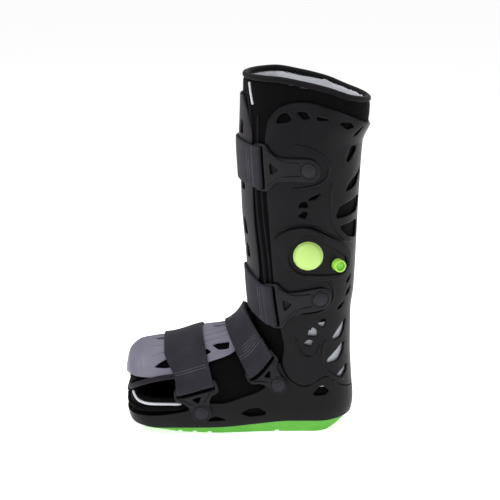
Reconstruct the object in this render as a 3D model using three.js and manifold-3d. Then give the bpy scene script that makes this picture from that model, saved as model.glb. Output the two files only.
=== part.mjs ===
// A tall pneumatic walking boot: rocker sole, two plastic shells, shin and toe plates, padded liner, four
// straps on swivel brackets, and an air pump with a release valve. Millimetres. -X points to the toes, -Y
// is the outer side that carries the pump, +Z is up, and the origin is on the floor under the flat of the
// sole.
import * as THREE from "three";
import { mergeVertices } from "three/addons/utils/BufferGeometryUtils.js";
import Module from "manifold-3d";

const wasm = await Module();
wasm.setup();

// Driving dimensions of the whole boot
const BOOT_HEIGHT = 445; // floor to the front of the liner's rim
const SHELL_HEIGHT = 418; // floor to the top of the upper shell
const LEG_AXIS = 61; // origin back to the leg's centre line
const CALF_DEPTH = 150; // shin plate to the back of the shell, at the widest
const CALF_WIDTH = 120;
const HEEL_WIDTH = 92;
const FOOT_WIDTH = 106;
const TOE_REACH = 154; // origin forward to the toe of the lower shell
const TOE_ARC = 40; // length of the rounded toe, seen from above
const INSTEP_HEIGHT = 130; // floor to the top of the toe plate, just before it turns up the leg

// Walls and running gaps
const SHELL_WALL = 2.8;
const PLATE_WALL = 2.8;
const SHELL_FLOOR = 3;
const FLOOR_LIP = 0.6; // the lower shell's wall stands this far below its floor
const LINER_WALL = 6;
const FOOTBED = 6;
const PAD_WALL = 2.5;
const PAD_REACH = 92; // middle of the heel round to the end of the heel pad
const PAD_BOTTOM = 62;
const PAD_TOP = 150;
const GAP = 0.35; // between pieces that touch
const LINER_GAP = 0.7; // shells to the soft liner
const STRAP_GAP = 0.6; // plates to the straps over them
const BRACKET_GAP = 0.6; // shells to the brackets, and to the pump's cover
const SEAM = 0.7; // between the edges of the two shells

// Lower shell and sole
const SOLE_HEIGHT = 17.5; // floor to the shell, under the heel
const SOLE_INSET = 2.5; // shell's side in to the rubber
const END_NIB = 3; // least half width of the ends of the sole and the shell's floor
const GROOVE_WIDTH = 5;
const GROOVE_DEPTH = 2.2;
const LEAN = 12; // how far the lower shell's wall would lean in at the floor
const LEAN_BELOW = 36; // the wall is upright above this height
const WIDEN_FROM = 40; // the foot widens forward of here
const WIDEN_OVER = 100;
const LOBE_WAY = 114; // middle of the heel round to the front edge of the upper shell's foot
const LOBE_HEIGHT = 77; // floor to the highest point of the line between the shells

// Upper shell and shin plate
const SHIN_OPEN = 52.9; // middle of the shin round to the shell's front edge, at the top
const PLATE_HALF = 44; // middle of the shin round to the plate's edge
const PLATE_TOP = 420;
const PLATE_BOTTOM = 138;
const TOE_PLATE_SHARE = 0.8; // of the way from the toe to the ankle
const WINDOW = 20; // the windows' sizes are shares of this

// Straps, brackets and rivets
const STRAP_WALL = 3;
const LOOP_WALL = 1.5; // one layer of strap, where it turns round a bracket's bar
const LOOP_INSET = 0.8; // the strap's edge in to the loop's
const LOOP_LAP = 3; // how far the loop's ends run inside the strap
const LOOP_SKIN = 0.3; // the strap's faces in to the loop's ends
const SHIN_STRAP = 50; // width
const FOOT_STRAP = 44;
const STRAP_EASE = 6; // plate's edge to the bracket's bar
const BAR_GAP = 0.5; // bracket's bar to the strap round it
const BRACKET_WALL = 3.2;
const BRACKET_BAR = 7;
const BRACKET_SLOT = 6;
const BRACKET_RIM = 3.5; // beyond each end of the slot
const SHIN_BRACKET = 55; // slot to rivet
const FOOT_BRACKET = 28;
const ARCH = 95; // crest of the foot round to the slots of the foot's brackets
const RIVET_HEAD = 17;
const RIVET_HEAD_HEIGHT = 2.2;
const RIVET_SHANK = 8;
const RIVET_EYE = 24; // the bracket's round end
const BRACKET_NECK = 0.62; // of the way from the slot to the eye
const BRACKET_TIP = 0.55; // of the way to the rivet, where the small window ends

// Pump
const BULB_AROUND = 92; // middle of the back round to the bulb
const BULB_UP = 233;
const BULB_DIAMETER = 36;
const BULB_HEIGHT = 12.5;
const COVER_REACH = 57; // bulb back to the end of the cover
const COVER_STAND = 5;
const COVER_POCKET = 2.6;
const VALVE_BACK = 36.5; // from the bulb's centre
const VALVE_DOWN = 12.5;
const VALVE_TURN = THREE.MathUtils.degToRad(20); // the tube points a little to the rear
const VALVE_DIAMETER = 15;
const VALVE_LENGTH = 12;
const VALVE_BORE = 10.4;
const BUTTON_LENGTH = 6;
const BUTTON_SET_BACK = 1.5; // below the tube's rim

// The leg's plan at a few heights: `up` is a share of BOOT_HEIGHT, `front` and `rear` are shares of
// CALF_DEPTH from the leg's centre line, and `swell` goes from the heel's width, 0, to the calf's width,
// 1.
const LEG_SECTIONS = [
  { up: 0.0, front: -0.34, rear: 0.453, swell: 0 },
  { up: 0.09, front: -0.34, rear: 0.453, swell: 0 },
  { up: 0.15, front: -0.345, rear: 0.44, swell: 0 },
  { up: 0.24, front: -0.365, rear: 0.425, swell: 0.04 },
  { up: 0.337, front: -0.4, rear: 0.424, swell: 0.2 },
  { up: 0.404, front: -0.42, rear: 0.445, swell: 0.39 },
  { up: 0.503, front: -0.44, rear: 0.458, swell: 0.57 },
  { up: 0.625, front: -0.472, rear: 0.469, swell: 0.79 },
  { up: 0.712, front: -0.483, rear: 0.48, swell: 0.9 },
  { up: 0.815, front: -0.498, rear: 0.498, swell: 1 },
  { up: 0.875, front: -0.492, rear: 0.565, swell: 0.95 },
  { up: 0.94, front: -0.487, rear: 0.575, swell: 0.9 },
  { up: 1.02, front: -0.485, rear: 0.58, swell: 0.88 },
];

// The arch over the foot: `at` runs from the toe, 0, to the ankle, 1. The crest and the side points, where
// the straps meet their brackets, are shares of TOE_REACH forward of the shin and of INSTEP_HEIGHT. `turn`
// is how far from upright the side runs down from there, in degrees.
const INSTEP_SECTIONS = [
  { at: 0.0, crestX: 1, crestZ: 0.615, sideX: 0.985, sideZ: 0.48, turn: 0 },
  { at: 0.1, crestX: 0.974, crestZ: 0.746, sideX: 0.954, sideZ: 0.44, turn: 0 },
  { at: 0.21, crestX: 0.869, crestZ: 0.85, sideX: 0.843, sideZ: 0.4, turn: 4 },
  { at: 0.32, crestX: 0.725, crestZ: 0.877, sideX: 0.7, sideZ: 0.395, turn: 10 },
  { at: 0.4, crestX: 0.621, crestZ: 0.892, sideX: 0.575, sideZ: 0.415, turn: 15 },
  { at: 0.6, crestX: 0.379, crestZ: 0.977, sideX: 0.281, sideZ: 0.508, turn: 17 },
  { at: 0.74, crestX: 0.19, crestZ: 1.015, sideX: -0.0065, sideZ: 0.577, turn: 40 },
  { at: 0.91, crestX: 0.033, crestZ: 1.205, sideX: -0.19, sideZ: 0.8, turn: 45 },
  { at: 1.0, crestX: 0.005, crestZ: 1.38, sideX: -0.268, sideZ: 0.95, turn: 50 },
];

// Undersides along the boot, as shares of TOE_REACH and of SOLE_HEIGHT.
const SHELL_UNDERSIDE = [
  { along: -1, up: 0.84 },
  { along: -0.86, up: 0.72 },
  { along: -0.7, up: 0.56 },
  { along: -0.24, up: 0.58 },
  { along: 0.03, up: 0.76 },
  { along: 0.34, up: 1 },
  { along: 0.55, up: 1 },
  { along: 0.84, up: 1.17 },
];
const TREAD_UNDERSIDE = [
  { along: -0.69, up: 0.48 },
  { along: -0.56, up: 0.2 },
  { along: -0.44, up: 0.11 },
  { along: -0.32, up: 0.04 },
  { along: -0.2, up: 0 },
  { along: 0.5, up: 0 },
  { along: 0.61, up: 0.13 },
  { along: 0.67, up: 0.45 },
  { along: 0.73, up: 0.83 },
  { along: 0.775, up: 1.09 },
];
const GROOVES = [-0.56, -0.443, -0.325, 0.218]; // of TOE_REACH

// The line between the shells: `way` is a share of LOBE_WAY from the middle of the heel, `up` of
// LOBE_HEIGHT.
const SHELL_LINE = [
  { way: 0, up: 0.7 },
  { way: 0.26, up: 0.77 },
  { way: 0.38, up: 0.85 },
  { way: 0.515, up: 1 },
  { way: 0.61, up: 0.94 },
  { way: 0.76, up: 0.835 },
  { way: 0.89, up: 0.92 },
  { way: 0.96, up: 1.04 },
  { way: 1, up: 1.19 },
];
// Forward of it the lower shell's top edge: `on` is a share of the way from the lobe to the toe.
const OPEN_EDGE = [
  { on: 0, up: 1.22 },
  { on: 0.012, up: 1.24 },
  { on: 0.05, up: 1.1 },
  { on: 0.1, up: 0.8 },
  { on: 0.22, up: 0.66 },
  { on: 0.33, up: 0.57 },
  { on: 0.39, up: 0.58 },
  { on: 0.425, up: 0.64 },
  { on: 0.46, up: 0.58 },
  { on: 0.52, up: 0.44 },
  { on: 0.7, up: 0.37 },
  { on: 1, up: 0.37 },
];

// The upper shell's top edge by share of the way from the back, and how far round it reaches at each share
// of its height, from LOBE_WAY, 0, to FRONT_REACH, 1.
const SHELL_TOP = [
  { way: 0, up: 0.917 },
  { way: 0.2, up: 0.93 },
  { way: 0.36, up: 0.955 },
  { way: 0.58, up: 0.984 },
  { way: 0.75, up: 1 },
  { way: 0.9, up: 0.997 },
  { way: 1, up: 0.955 },
];
const SHELL_FRONT = [
  { up: 0.16, on: 0 },
  { up: 0.215, on: 0 },
  { up: 0.27, on: -0.07 },
  { up: 0.34, on: 0.05 },
  { up: 0.49, on: 0.36 },
  { up: 0.57, on: 0.456 },
  { up: 0.66, on: 0.56 },
  { up: 0.73, on: 0.65 },
  { up: 0.8, on: 0.71 },
  { up: 0.87, on: 0.75 },
  { up: 0.905, on: 0.92 },
  { up: 0.95, on: 0.95 },
  { up: 1, on: 0.8 },
];
// The shin plate's half width by share of its height.
const PLATE_SIDE = [
  { up: 0, half: 0.12 },
  { up: 0.04, half: 0.3 },
  { up: 0.14, half: 0.66 },
  { up: 0.25, half: 0.92 },
  { up: 0.45, half: 0.92 },
  { up: 0.7, half: 0.96 },
  { up: 0.83, half: 1 },
  { up: 0.93, half: 0.78 },
  { up: 0.98, half: 0.56 },
  { up: 1, half: 0.42 },
];
// The toe plate's lower edge, as a share of the arch.
const TOE_PLATE_SIDE = [
  { at: 0, down: 0.52 },
  { at: 0.1, down: 0.66 },
  { at: 0.22, down: 0.72 },
  { at: 0.5, down: 0.74 },
  { at: 0.75, down: 0.68 },
  { at: 0.92, down: 0.6 },
  { at: 1, down: 0.42 },
];
// The liner's rim by share of the way from the back, as a share of BOOT_HEIGHT.
const RIM = [
  { way: 0, up: 0.939 },
  { way: 0.35, up: 0.955 },
  { way: 0.6, up: 0.987 },
  { way: 1, up: 1 },
];

// Window shapes, one unit wide and tall, seen from outside with the toes to the left.
const SHAPES = {
  trapezium: [[-0.5, -0.2], [-0.3, 0.25], [0, 0.5], [0.2, 0.45], [0.5, 0], [0.35, -0.3], [-0.4, -0.5]],
  slant: [[-0.5, 0.35], [-0.3, 0.5], [0.2, 0.4], [0.5, -0.25], [0.05, -0.5]],
  wedge: [[-0.5, 0.5], [-0.35, -0.5], [0.5, -0.35]],
  leaf: [[0.5, 0.5], [-0.35, -0.1], [-0.5, -0.5], [0.1, -0.3]],
  claw: [[-0.5, -0.5], [-0.4, -0.4], [0.1, -0.15], [0.2, 0.5], [0.5, 0.45], [0.4, -0.1], [0.2, -0.35]],
  pane: [[-0.5, -0.3], [-0.4, 0.15], [0.5, 0.5], [0.45, -0.1], [0.3, -0.35], [-0.45, -0.5]],
  delta: [[-0.5, 0.35], [0.45, 0.5], [0.5, 0.05], [0.4, -0.5], [-0.1, -0.3], [-0.45, 0.15]],
  gable: [[-0.5, -0.5], [-0.3, 0.25], [0, 0.5], [0.35, 0.3], [0.5, -0.5]],
  barb: [[-0.5, -0.1], [0, 0.5], [0.5, 0.4], [0.3, -0.5]],
  kite: [[-0.5, -0.3], [-0.45, -0.5], [0.1, -0.4], [0.4, 0], [0.5, 0.5], [0.3, 0.45]],
  moon: [[-0.5, -0.5], [-0.05, 0.5], [0.4, -0.3], [0.15, -0.5]],
  diamond: [[-0.5, -0.1], [-0.2, 0.4], [0.2, 0.5], [0.5, -0.1], [0.4, -0.35], [-0.15, -0.5]],
  bean: [[-0.5, -0.3], [0, 0.5], [0.25, 0.45], [0.5, -0.1], [0.25, -0.45], [-0.35, -0.5]],
};

// Windows of the upper shell: `way` is a share of FRONT_REACH from the back, `up` of SHELL_HEIGHT, and the
// sizes are shares of WINDOW.
const UPPER_WINDOWS = [
  { shape: "trapezium", way: 0.854, up: 0.954, wide: 0.9, tall: 0.65 },
  { shape: "slant", way: 0.716, up: 0.961, wide: 0.8, tall: 0.5 },
  { shape: "wedge", way: 0.576, up: 0.953, wide: 0.85, tall: 0.24 },
  { shape: "slant", way: 0.394, up: 0.93, wide: 0.9, tall: 0.4 },
  { shape: "leaf", way: 0.262, up: 0.91, wide: 0.45, tall: 0.45 },
  { shape: "claw", way: 0.259, up: 0.845, wide: 0.68, tall: 1 },
  { shape: "leaf", way: 0.19, up: 0.76, wide: 1.75, tall: 1 },
  { shape: "pane", way: 0.222, up: 0.687, wide: 2.4, tall: 1.1 },
  { shape: "delta", way: 0.21, up: 0.619, wide: 1.9, tall: 1.1 },
  { shape: "leaf", way: 0.542, up: 0.73, wide: 0.7, tall: 0.42 },
  { shape: "gable", way: 0.61, up: 0.707, wide: 0.56, tall: 0.36 },
  { shape: "barb", way: 0.606, up: 0.674, wide: 0.56, tall: 0.45 },
  { shape: "leaf", way: 0.19, up: 0.473, wide: 0.4, tall: 0.5 },
  { shape: "leaf", way: 0.19, up: 0.437, wide: 0.45, tall: 0.5 },
  { shape: "leaf", way: 0.252, up: 0.396, wide: 0.5, tall: 0.48 },
  { shape: "barb", way: 0.398, up: 0.35, wide: 0.5, tall: 0.44 },
  { shape: "gable", way: 0.463, up: 0.323, wide: 0.56, tall: 0.4 },
  { shape: "barb", way: 0.488, up: 0.291, wide: 0.6, tall: 0.38 },
  { shape: "kite", way: 0.24, up: 0.319, wide: 0.85, tall: 0.84 },
  { shape: "kite", way: 0.265, up: 0.241, wide: 1.27, tall: 1.17 },
  { shape: "kite", way: 0.19, up: 0.19, wide: 1, tall: 0.55 },
];
// Windows of the lower shell: `x` is a share of TOE_REACH, `up` of LOBE_HEIGHT.
const LOWER_WINDOWS = [
  { shape: "moon", x: -0.265, up: 0.305, wide: 1.45, tall: 0.3 },
  { shape: "diamond", x: 0.03, up: 0.4, wide: 1.6, tall: 0.5 },
  { shape: "bean", x: 0.565, up: 0.76, wide: 1, tall: 0.58 },
];
// Windows of the shin plate: `side` is a share of PLATE_HALF, `up` of its height.
const PLATE_WINDOWS = [
  { shape: "gable", side: 0.42, up: 0.87, wide: 0.6, tall: 0.9 },
  { shape: "gable", side: 0.42, up: 0.63, wide: 0.6, tall: 0.9 },
  { shape: "gable", side: 0.42, up: 0.44, wide: 0.6, tall: 1.1 },
  { shape: "gable", side: 0.42, up: 0.33, wide: 0.6, tall: 0.9 },
];
// Windows of the toe plate: `at` is a share of its length, `down` a share of the arch.
const TOE_WINDOWS = [
  { shape: "wedge", at: 0.37, down: 0.58, wide: 0.7, tall: 0.55 },
  { shape: "pane", at: 0.84, down: 0.46, wide: 0.6, tall: 0.45 },
  { shape: "wedge", at: 0.68, down: 0.52, wide: 0.3, tall: 0.4 },
];

const lerp = THREE.MathUtils.lerp;

// Value of a column of a table at a place between its rows, on a smooth curve that never overshoots them.
function fromTable(rows, key, column, at) {
  const last = rows.length - 1;
  const secant = (j) => (rows[j + 1][column] - rows[j][column]) / (rows[j + 1][key] - rows[j][key]);
  const slope = (j) => {
    if (j === 0) return secant(0);
    if (j === last) return secant(last - 1);
    const [a, b] = [secant(j - 1), secant(j)];
    return a * b <= 0 ? 0 : (2 * a * b) / (a + b);
  };
  let i = 0;
  while (i < last - 1 && rows[i + 1][key] < at) i += 1;
  const [p, q] = [rows[i], rows[i + 1]];
  const span = q[key] - p[key];
  const t = THREE.MathUtils.clamp((at - p[key]) / span, 0, 1);
  const [t2, t3] = [t * t, t * t * t];
  return (
    p[column] * (2 * t3 - 3 * t2 + 1) +
    slope(i) * span * (t3 - 2 * t2 + t) +
    q[column] * (3 * t2 - 2 * t3) +
    slope(i + 1) * span * (t3 - t2)
  );
}

function evenly(from, to, count) {
  return Array.from({ length: count + 1 }, (_, i) => lerp(from, to, i / count));
}

// The leg's plan at height z: two half circles joined by straight sides.
function legPlan(z) {
  const column = (name) => fromTable(LEG_SECTIONS, "up", name, z / BOOT_HEIGHT);
  const half = (HEEL_WIDTH + (CALF_WIDTH - HEEL_WIDTH) * column("swell")) / 2;
  const front = LEG_AXIS + CALF_DEPTH * column("front");
  const rear = LEG_AXIS + CALF_DEPTH * column("rear");
  const straight = Math.max(0, rear - front - 2 * half);
  const round = (Math.PI / 2) * half;
  return { half, front, rear, straight, round, girth: 2 * round + straight };
}

const WIDEST = 0.815; // the share of BOOT_HEIGHT where the leg is widest
// Middle of the back round to the shell's front edge, at the top
const FRONT_REACH = legPlan(WIDEST * BOOT_HEIGHT).girth - SHIN_OPEN;

// A point of the leg's surface, `around` millimetres from the middle of the back, on the outer side if
// positive, and `depth` millimetres inside the surface.
function legPoint(around, z, depth) {
  const { half, rear, straight, round } = legPlan(z);
  const way = Math.abs(around);
  const r = half - depth;
  const turn = Math.max(0, way - round - straight) / half;
  let x = rear - half - Math.min(way - round, straight) - r * Math.sin(turn);
  let y = r * Math.cos(turn);
  if (way < round) {
    x = rear - half + r * Math.cos(way / half);
    y = r * Math.sin(way / half);
  }
  return new THREE.Vector3(x, around < 0 ? y : -y, z);
}

// The same, `around` millimetres from the middle of the shin.
function shinPoint(around, z, depth) {
  const p = legPoint(legPlan(z).girth - Math.abs(around), z, depth);
  if (around < 0) p.y = -p.y;
  return p;
}

// The foot's plan: the heel's half circle, sides that widen forward, and a blunt rounded toe.
const TOE_START = TOE_ARC - TOE_REACH;
const TOE_BLUNT = 2.6; // 2 would be an ellipse
function sideHalf(x, z) {
  const t = THREE.MathUtils.smoothstep(WIDEN_FROM - x, 0, WIDEN_OVER);
  return legPlan(z).half + ((FOOT_WIDTH - HEEL_WIDTH) / 2) * t;
}
function lean(z) {
  const t = THREE.MathUtils.clamp((LEAN_BELOW - z) / LEAN_BELOW, 0, 1);
  return LEAN * t * t;
}
// Half the foot's width at x.
function footHalf(x, z, depth) {
  const { half, rear } = legPlan(z);
  const inset = depth + lean(z);
  if (x > rear - half) return Math.sqrt(Math.max(0, (half - inset) ** 2 - (x - rear + half) ** 2));
  if (x > TOE_START) return sideHalf(x, z) - inset;
  const share = Math.min(1, (TOE_START - x) / (TOE_ARC - inset));
  return (sideHalf(TOE_START, z) - inset) * (1 - share ** TOE_BLUNT) ** (1 / TOE_BLUNT);
}
// A point of the foot's surface, `way` millimetres round from the middle of the heel.
function footPoint(way, z, depth) {
  const { half, rear, round } = legPlan(z);
  if (Math.abs(way) < round) return legPoint(way, z, depth + lean(z));
  const side = way < 0 ? 1 : -1;
  const x = rear - half - Math.abs(way) + round;
  if (x > TOE_START) return new THREE.Vector3(x, side * footHalf(x, z, depth), z);
  const angle = Math.min(1, (TOE_START - x) / TOE_WAY) * (Math.PI / 2);
  const inset = depth + lean(z);
  const sharp = 2 / TOE_BLUNT;
  return new THREE.Vector3(
    TOE_START - (TOE_ARC - inset) * Math.sin(angle) ** sharp,
    side * (sideHalf(TOE_START, z) - inset) * Math.max(0, Math.cos(angle)) ** sharp,
    z,
  );
}
const TOE_WAY = 0.83 * (TOE_ARC + FOOT_WIDTH / 2);
const HEEL = legPlan(LEAN_BELOW);
const FOOT_WAY = HEEL.round + HEEL.rear - HEEL.half - TOE_START + TOE_WAY;

function undersideOf(rows, x) {
  return SOLE_HEIGHT * fromTable(rows, "along", "up", x / TOE_REACH);
}

// A point of the arch over the foot: `at` from toe to ankle, `across` millimetres from the crest towards
// the outer side, running on straight down the side beyond ARCH.
const SHIN_X = legPlan(1.3 * INSTEP_HEIGHT).front;
function archSurface(at, across) {
  const column = (name) => fromTable(INSTEP_SECTIONS, "at", name, at);
  const crest = [SHIN_X - (TOE_REACH + SHIN_X) * column("crestX"), INSTEP_HEIGHT * column("crestZ")];
  const side = [SHIN_X - (TOE_REACH + SHIN_X) * column("sideX"), INSTEP_HEIGHT * column("sideZ")];
  const angle = Math.min(1, Math.abs(across) / ARCH) * (Math.PI / 2);
  const below = Math.max(0, Math.abs(across) - ARCH);
  const turn = THREE.MathUtils.degToRad(column("turn"));
  const x = lerp(side[0], crest[0], Math.cos(angle)) + below * Math.sin(turn);
  const z = lerp(side[1], crest[1], Math.cos(angle)) - below * Math.cos(turn);
  const half = footHalf(side[0] + below * Math.sin(turn), Math.max(LEAN_BELOW, side[1]), 0) * Math.sin(angle);
  return new THREE.Vector3(x, across < 0 ? half : -half, z);
}
function archPoint(at, across, depth) {
  const p = archSurface(at, across);
  const [a, b, s] = [0.01, 0.4, Math.sign(across) || 1];
  const low = at > 1 - a ? at - a : at;
  const alongStep = archSurface(low + a, across).sub(archSurface(low, across));
  const acrossStep = archSurface(at, across + s * b).sub(archSurface(at, across));
  const outward = alongStep.cross(acrossStep).multiplyScalar(-s).normalize();
  const up = new THREE.Vector3(-0.2, -0.2 * s, 1);
  if (outward.dot(up) < 0 && Math.abs(across) < ARCH * 0.8) outward.negate();
  return p.addScaledVector(outward, -depth);
}

// Makes a solid from triangles given as a list of numbers, turned inside out if they face inwards.
function solidFrom(positions) {
  const geometry = new THREE.BufferGeometry();
  geometry.setAttribute("position", new THREE.Float32BufferAttribute(positions, 3));
  const solid = solidOf(geometry);
  if (solid.volume() > 0) return solid;
  const flipped = [];
  for (let i = 0; i < positions.length; i += 9) {
    const [a, b, c] = [0, 3, 6].map((k) => positions.slice(i + k, i + k + 3));
    flipped.push(...a, ...c, ...b);
  }
  geometry.setAttribute("position", new THREE.Float32BufferAttribute(flipped, 3));
  return solidOf(geometry);
}
function solidOf(geometry) {
  const bare = geometry.clone();
  bare.deleteAttribute("normal");
  bare.deleteAttribute("uv");
  const merged = mergeVertices(bare, 1e-4);
  return new wasm.Manifold(
    new wasm.Mesh({
      numProp: 3,
      vertProperties: new Float32Array(merged.attributes.position.array),
      triVerts: new Uint32Array(merged.index.array),
    }),
  );
}
function geometryOf(solid) {
  const mesh = solid.getMesh();
  const positions = new Float32Array(mesh.numVert * 3);
  for (let i = 0; i < mesh.numVert; i += 1) {
    positions.set(mesh.vertProperties.subarray(i * mesh.numProp, i * mesh.numProp + 3), i * 3);
  }
  const geometry = new THREE.BufferGeometry();
  geometry.setAttribute("position", new THREE.BufferAttribute(positions, 3));
  geometry.setIndex(new THREE.BufferAttribute(mesh.triVerts, 1));
  return geometry;
}

// A wall between two skins, point(u, v, depth) at each column u and level v, from one depth to another.
function wall({ columns, levels, point, from, to, closed = false }) {
  const skin = (depth) => columns.map((u) => levels.map((v) => point(u, v, depth)));
  const [outer, inner] = [skin(from), skin(to)];
  const positions = [];
  const quad = (a, b, c, d) => {
    for (const p of [a, b, c, a, c, d]) positions.push(p.x, p.y, p.z);
  };
  const last = columns.length - 1;
  const top = levels.length - 1;
  for (let i = 0; i < (closed ? last + 1 : last); i += 1) {
    const n = (i + 1) % columns.length;
    for (let j = 0; j < top; j += 1) {
      quad(outer[i][j], outer[n][j], outer[n][j + 1], outer[i][j + 1]);
      quad(inner[i][j], inner[i][j + 1], inner[n][j + 1], inner[n][j]);
    }
    quad(outer[i][0], inner[i][0], inner[n][0], outer[n][0]);
    quad(outer[i][top], outer[n][top], inner[n][top], inner[i][top]);
  }
  for (let j = 0; !closed && j < top; j += 1) {
    quad(outer[0][j], outer[0][j + 1], inner[0][j + 1], inner[0][j]);
    quad(outer[last][j], inner[last][j], inner[last][j + 1], outer[last][j + 1]);
  }
  return solidFrom(positions);
}

// A block skinned over closed rings of points, its ends closed by fans.
function block(rings) {
  const positions = [];
  const push = (...points) => points.forEach((p) => positions.push(p.x, p.y, p.z));
  const count = rings[0].length;
  for (let i = 0; i + 1 < rings.length; i += 1) {
    for (let k = 0; k < count; k += 1) {
      const n = (k + 1) % count;
      push(rings[i][k], rings[i][n], rings[i + 1][n]);
      push(rings[i][k], rings[i + 1][n], rings[i + 1][k]);
    }
  }
  const middle = (ring) => ring.reduce((sum, p) => sum.add(p), new THREE.Vector3()).divideScalar(count);
  const [first, final] = [rings[0], rings[rings.length - 1]];
  const [start, end] = [middle(first), middle(final)];
  for (let k = 0; k < count; k += 1) {
    const n = (k + 1) % count;
    push(start, first[n], first[k]);
    push(end, final[k], final[n]);
  }
  return solidFrom(positions);
}

// Splits triangles (lists of three points) along the planes where one coordinate has the given values, so
// that a flat piece can bend there.
function splitAlong(triangles, axis, values) {
  let pieces = triangles;
  for (const value of values) {
    const next = [];
    for (const triangle of pieces) {
      const sides = triangle.map((p) => (Math.abs(p[axis] - value) < 1e-4 ? 0 : Math.sign(p[axis] - value)));
      if (Math.min(...sides) >= 0 || Math.max(...sides) <= 0) {
        next.push(triangle);
        continue;
      }
      const ring = [];
      for (let i = 0; i < 3; i += 1) {
        const j = (i + 1) % 3;
        ring.push({ p: triangle[i], side: sides[i] });
        if (sides[i] * sides[j] < 0) {
          const swap = sides[i] > 0;
          const [a, b] = swap ? [triangle[j], triangle[i]] : [triangle[i], triangle[j]];
          const t = (value - a[axis]) / (b[axis] - a[axis]);
          ring.push({ p: a.map((c, k) => (k === axis ? value : lerp(c, b[k], t))), side: 0 });
        }
      }
      for (const keep of [-1, 1]) {
        const kept = ring.filter((corner) => corner.side === keep || corner.side === 0);
        const part = kept.map((corner) => corner.p);
        for (let k = 1; k + 1 < part.length; k += 1) next.push([part[0], part[k], part[k + 1]]);
      }
    }
    pieces = next;
  }
  return pieces;
}

// An outline with extra points where it crosses the lines, so that splitting it there makes few triangles.
function crossed(points, lines) {
  let ring = points.map((p) => [p.x, p.y]);
  lines.slice(0, 2).forEach((values, axis) => {
    ring = ring.flatMap((a, i) => {
      const b = ring[(i + 1) % ring.length];
      const inside = values.filter((v) => (v - a[axis]) * (v - b[axis]) < -1e-6);
      const cuts = inside.map((v) => {
        const t = (v - a[axis]) / (b[axis] - a[axis]);
        return [t, a.map((c, k) => (k === axis ? v : lerp(c, b[k], t)))];
      });
      return [a, ...cuts.sort((p, q) => p[0] - q[0]).map((cut) => cut[1])];
    });
  });
  return ring.map(([x, y]) => new THREE.Vector2(x, y));
}

// A flat outline with holes, extruded in steps from one layer to another, split along lines of its first
// and second coordinate, and bent by place(x, y, layer).
function formed({ outline, holes = [], from, to, lines = [[], []], steps = 1, place }) {
  const shape = new THREE.Shape(crossed(outline, lines));
  shape.holes = holes.map((points) => new THREE.Path(crossed(points, lines)));
  const flat = new THREE.ExtrudeGeometry(shape, { depth: 1, bevelEnabled: false, steps });
  const read = flat.attributes.position;
  const triangles = [];
  for (let i = 0; i < read.count; i += 3) {
    triangles.push([0, 1, 2].map((k) => [read.getX(i + k), read.getY(i + k), read.getZ(i + k)]));
  }
  const positions = [];
  const split = lines.reduce((pieces, values, axis) => splitAlong(pieces, axis, values), triangles);
  for (const triangle of split) {
    for (const [x, y, layer] of triangle) {
      const p = place(x, y, lerp(from, to, layer));
      positions.push(p.x, p.y, p.z);
    }
  }
  return solidFrom(positions);
}

function turned(profile, sides, foot, axis) {
  const geometry = new THREE.LatheGeometry(
    profile.map(([r, h]) => new THREE.Vector2(r, h)),
    sides,
  ).toNonIndexed();
  geometry.applyQuaternion(new THREE.Quaternion().setFromUnitVectors(new THREE.Vector3(0, 1, 0), axis));
  geometry.translate(foot.x, foot.y, foot.z);
  return solidFrom(Array.from(geometry.attributes.position.array));
}
function rod(radius, from, to, foot, axis, sides = 12) {
  return turned([[0, from], [radius, from], [radius, to], [0, to]], sides, foot, axis);
}

function circle(x, y, radius, sides) {
  return evenly(0, 2 * Math.PI, sides)
    .slice(0, sides)
    .map((a) => new THREE.Vector2(x + radius * Math.cos(a), y + radius * Math.sin(a)));
}

// The outward direction of a surface at one of its points.
function outwardAt(point, u, v) {
  const side = point(u, v, -1).sub(point(u, v, 0));
  const normal = point(u + 1, v, 0).sub(point(u - 1, v, 0)).cross(point(u, v + 1, 0).sub(point(u, v - 1, 0)));
  return normal.multiplyScalar(Math.sign(normal.dot(side))).normalize();
}

// A window's cutter: its outline bent on to the surface, well through the wall.
const CUT = 7;
function cutter(row, x, y, place, mirror) {
  const outline = SHAPES[row.shape].map(([a, b]) => {
    const p = new THREE.Vector2(x - a * row.wide * WINDOW, y + b * row.tall * WINDOW);
    return mirror ? new THREE.Vector2(-p.x, p.y) : p;
  });
  return formed({ outline, from: -CUT, to: CUT, place });
}
function cutEach(solid, cutters) {
  return cutters.reduce((rest, each) => rest.subtract(each), solid);
}

// Shells
const shellLine = (way) => LOBE_HEIGHT * fromTable(SHELL_LINE, "way", "up", way / LOBE_WAY);
const openEdge = (way) => {
  const on = (way - LOBE_WAY) / (FOOT_WAY - LOBE_WAY);
  return LOBE_HEIGHT * fromTable(OPEN_EDGE, "on", "up", on);
};

// Both shells have their columns at these shares of the line between them, so that its facets match.
const LINE_SHARES = evenly(0, 1, 11);

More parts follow.
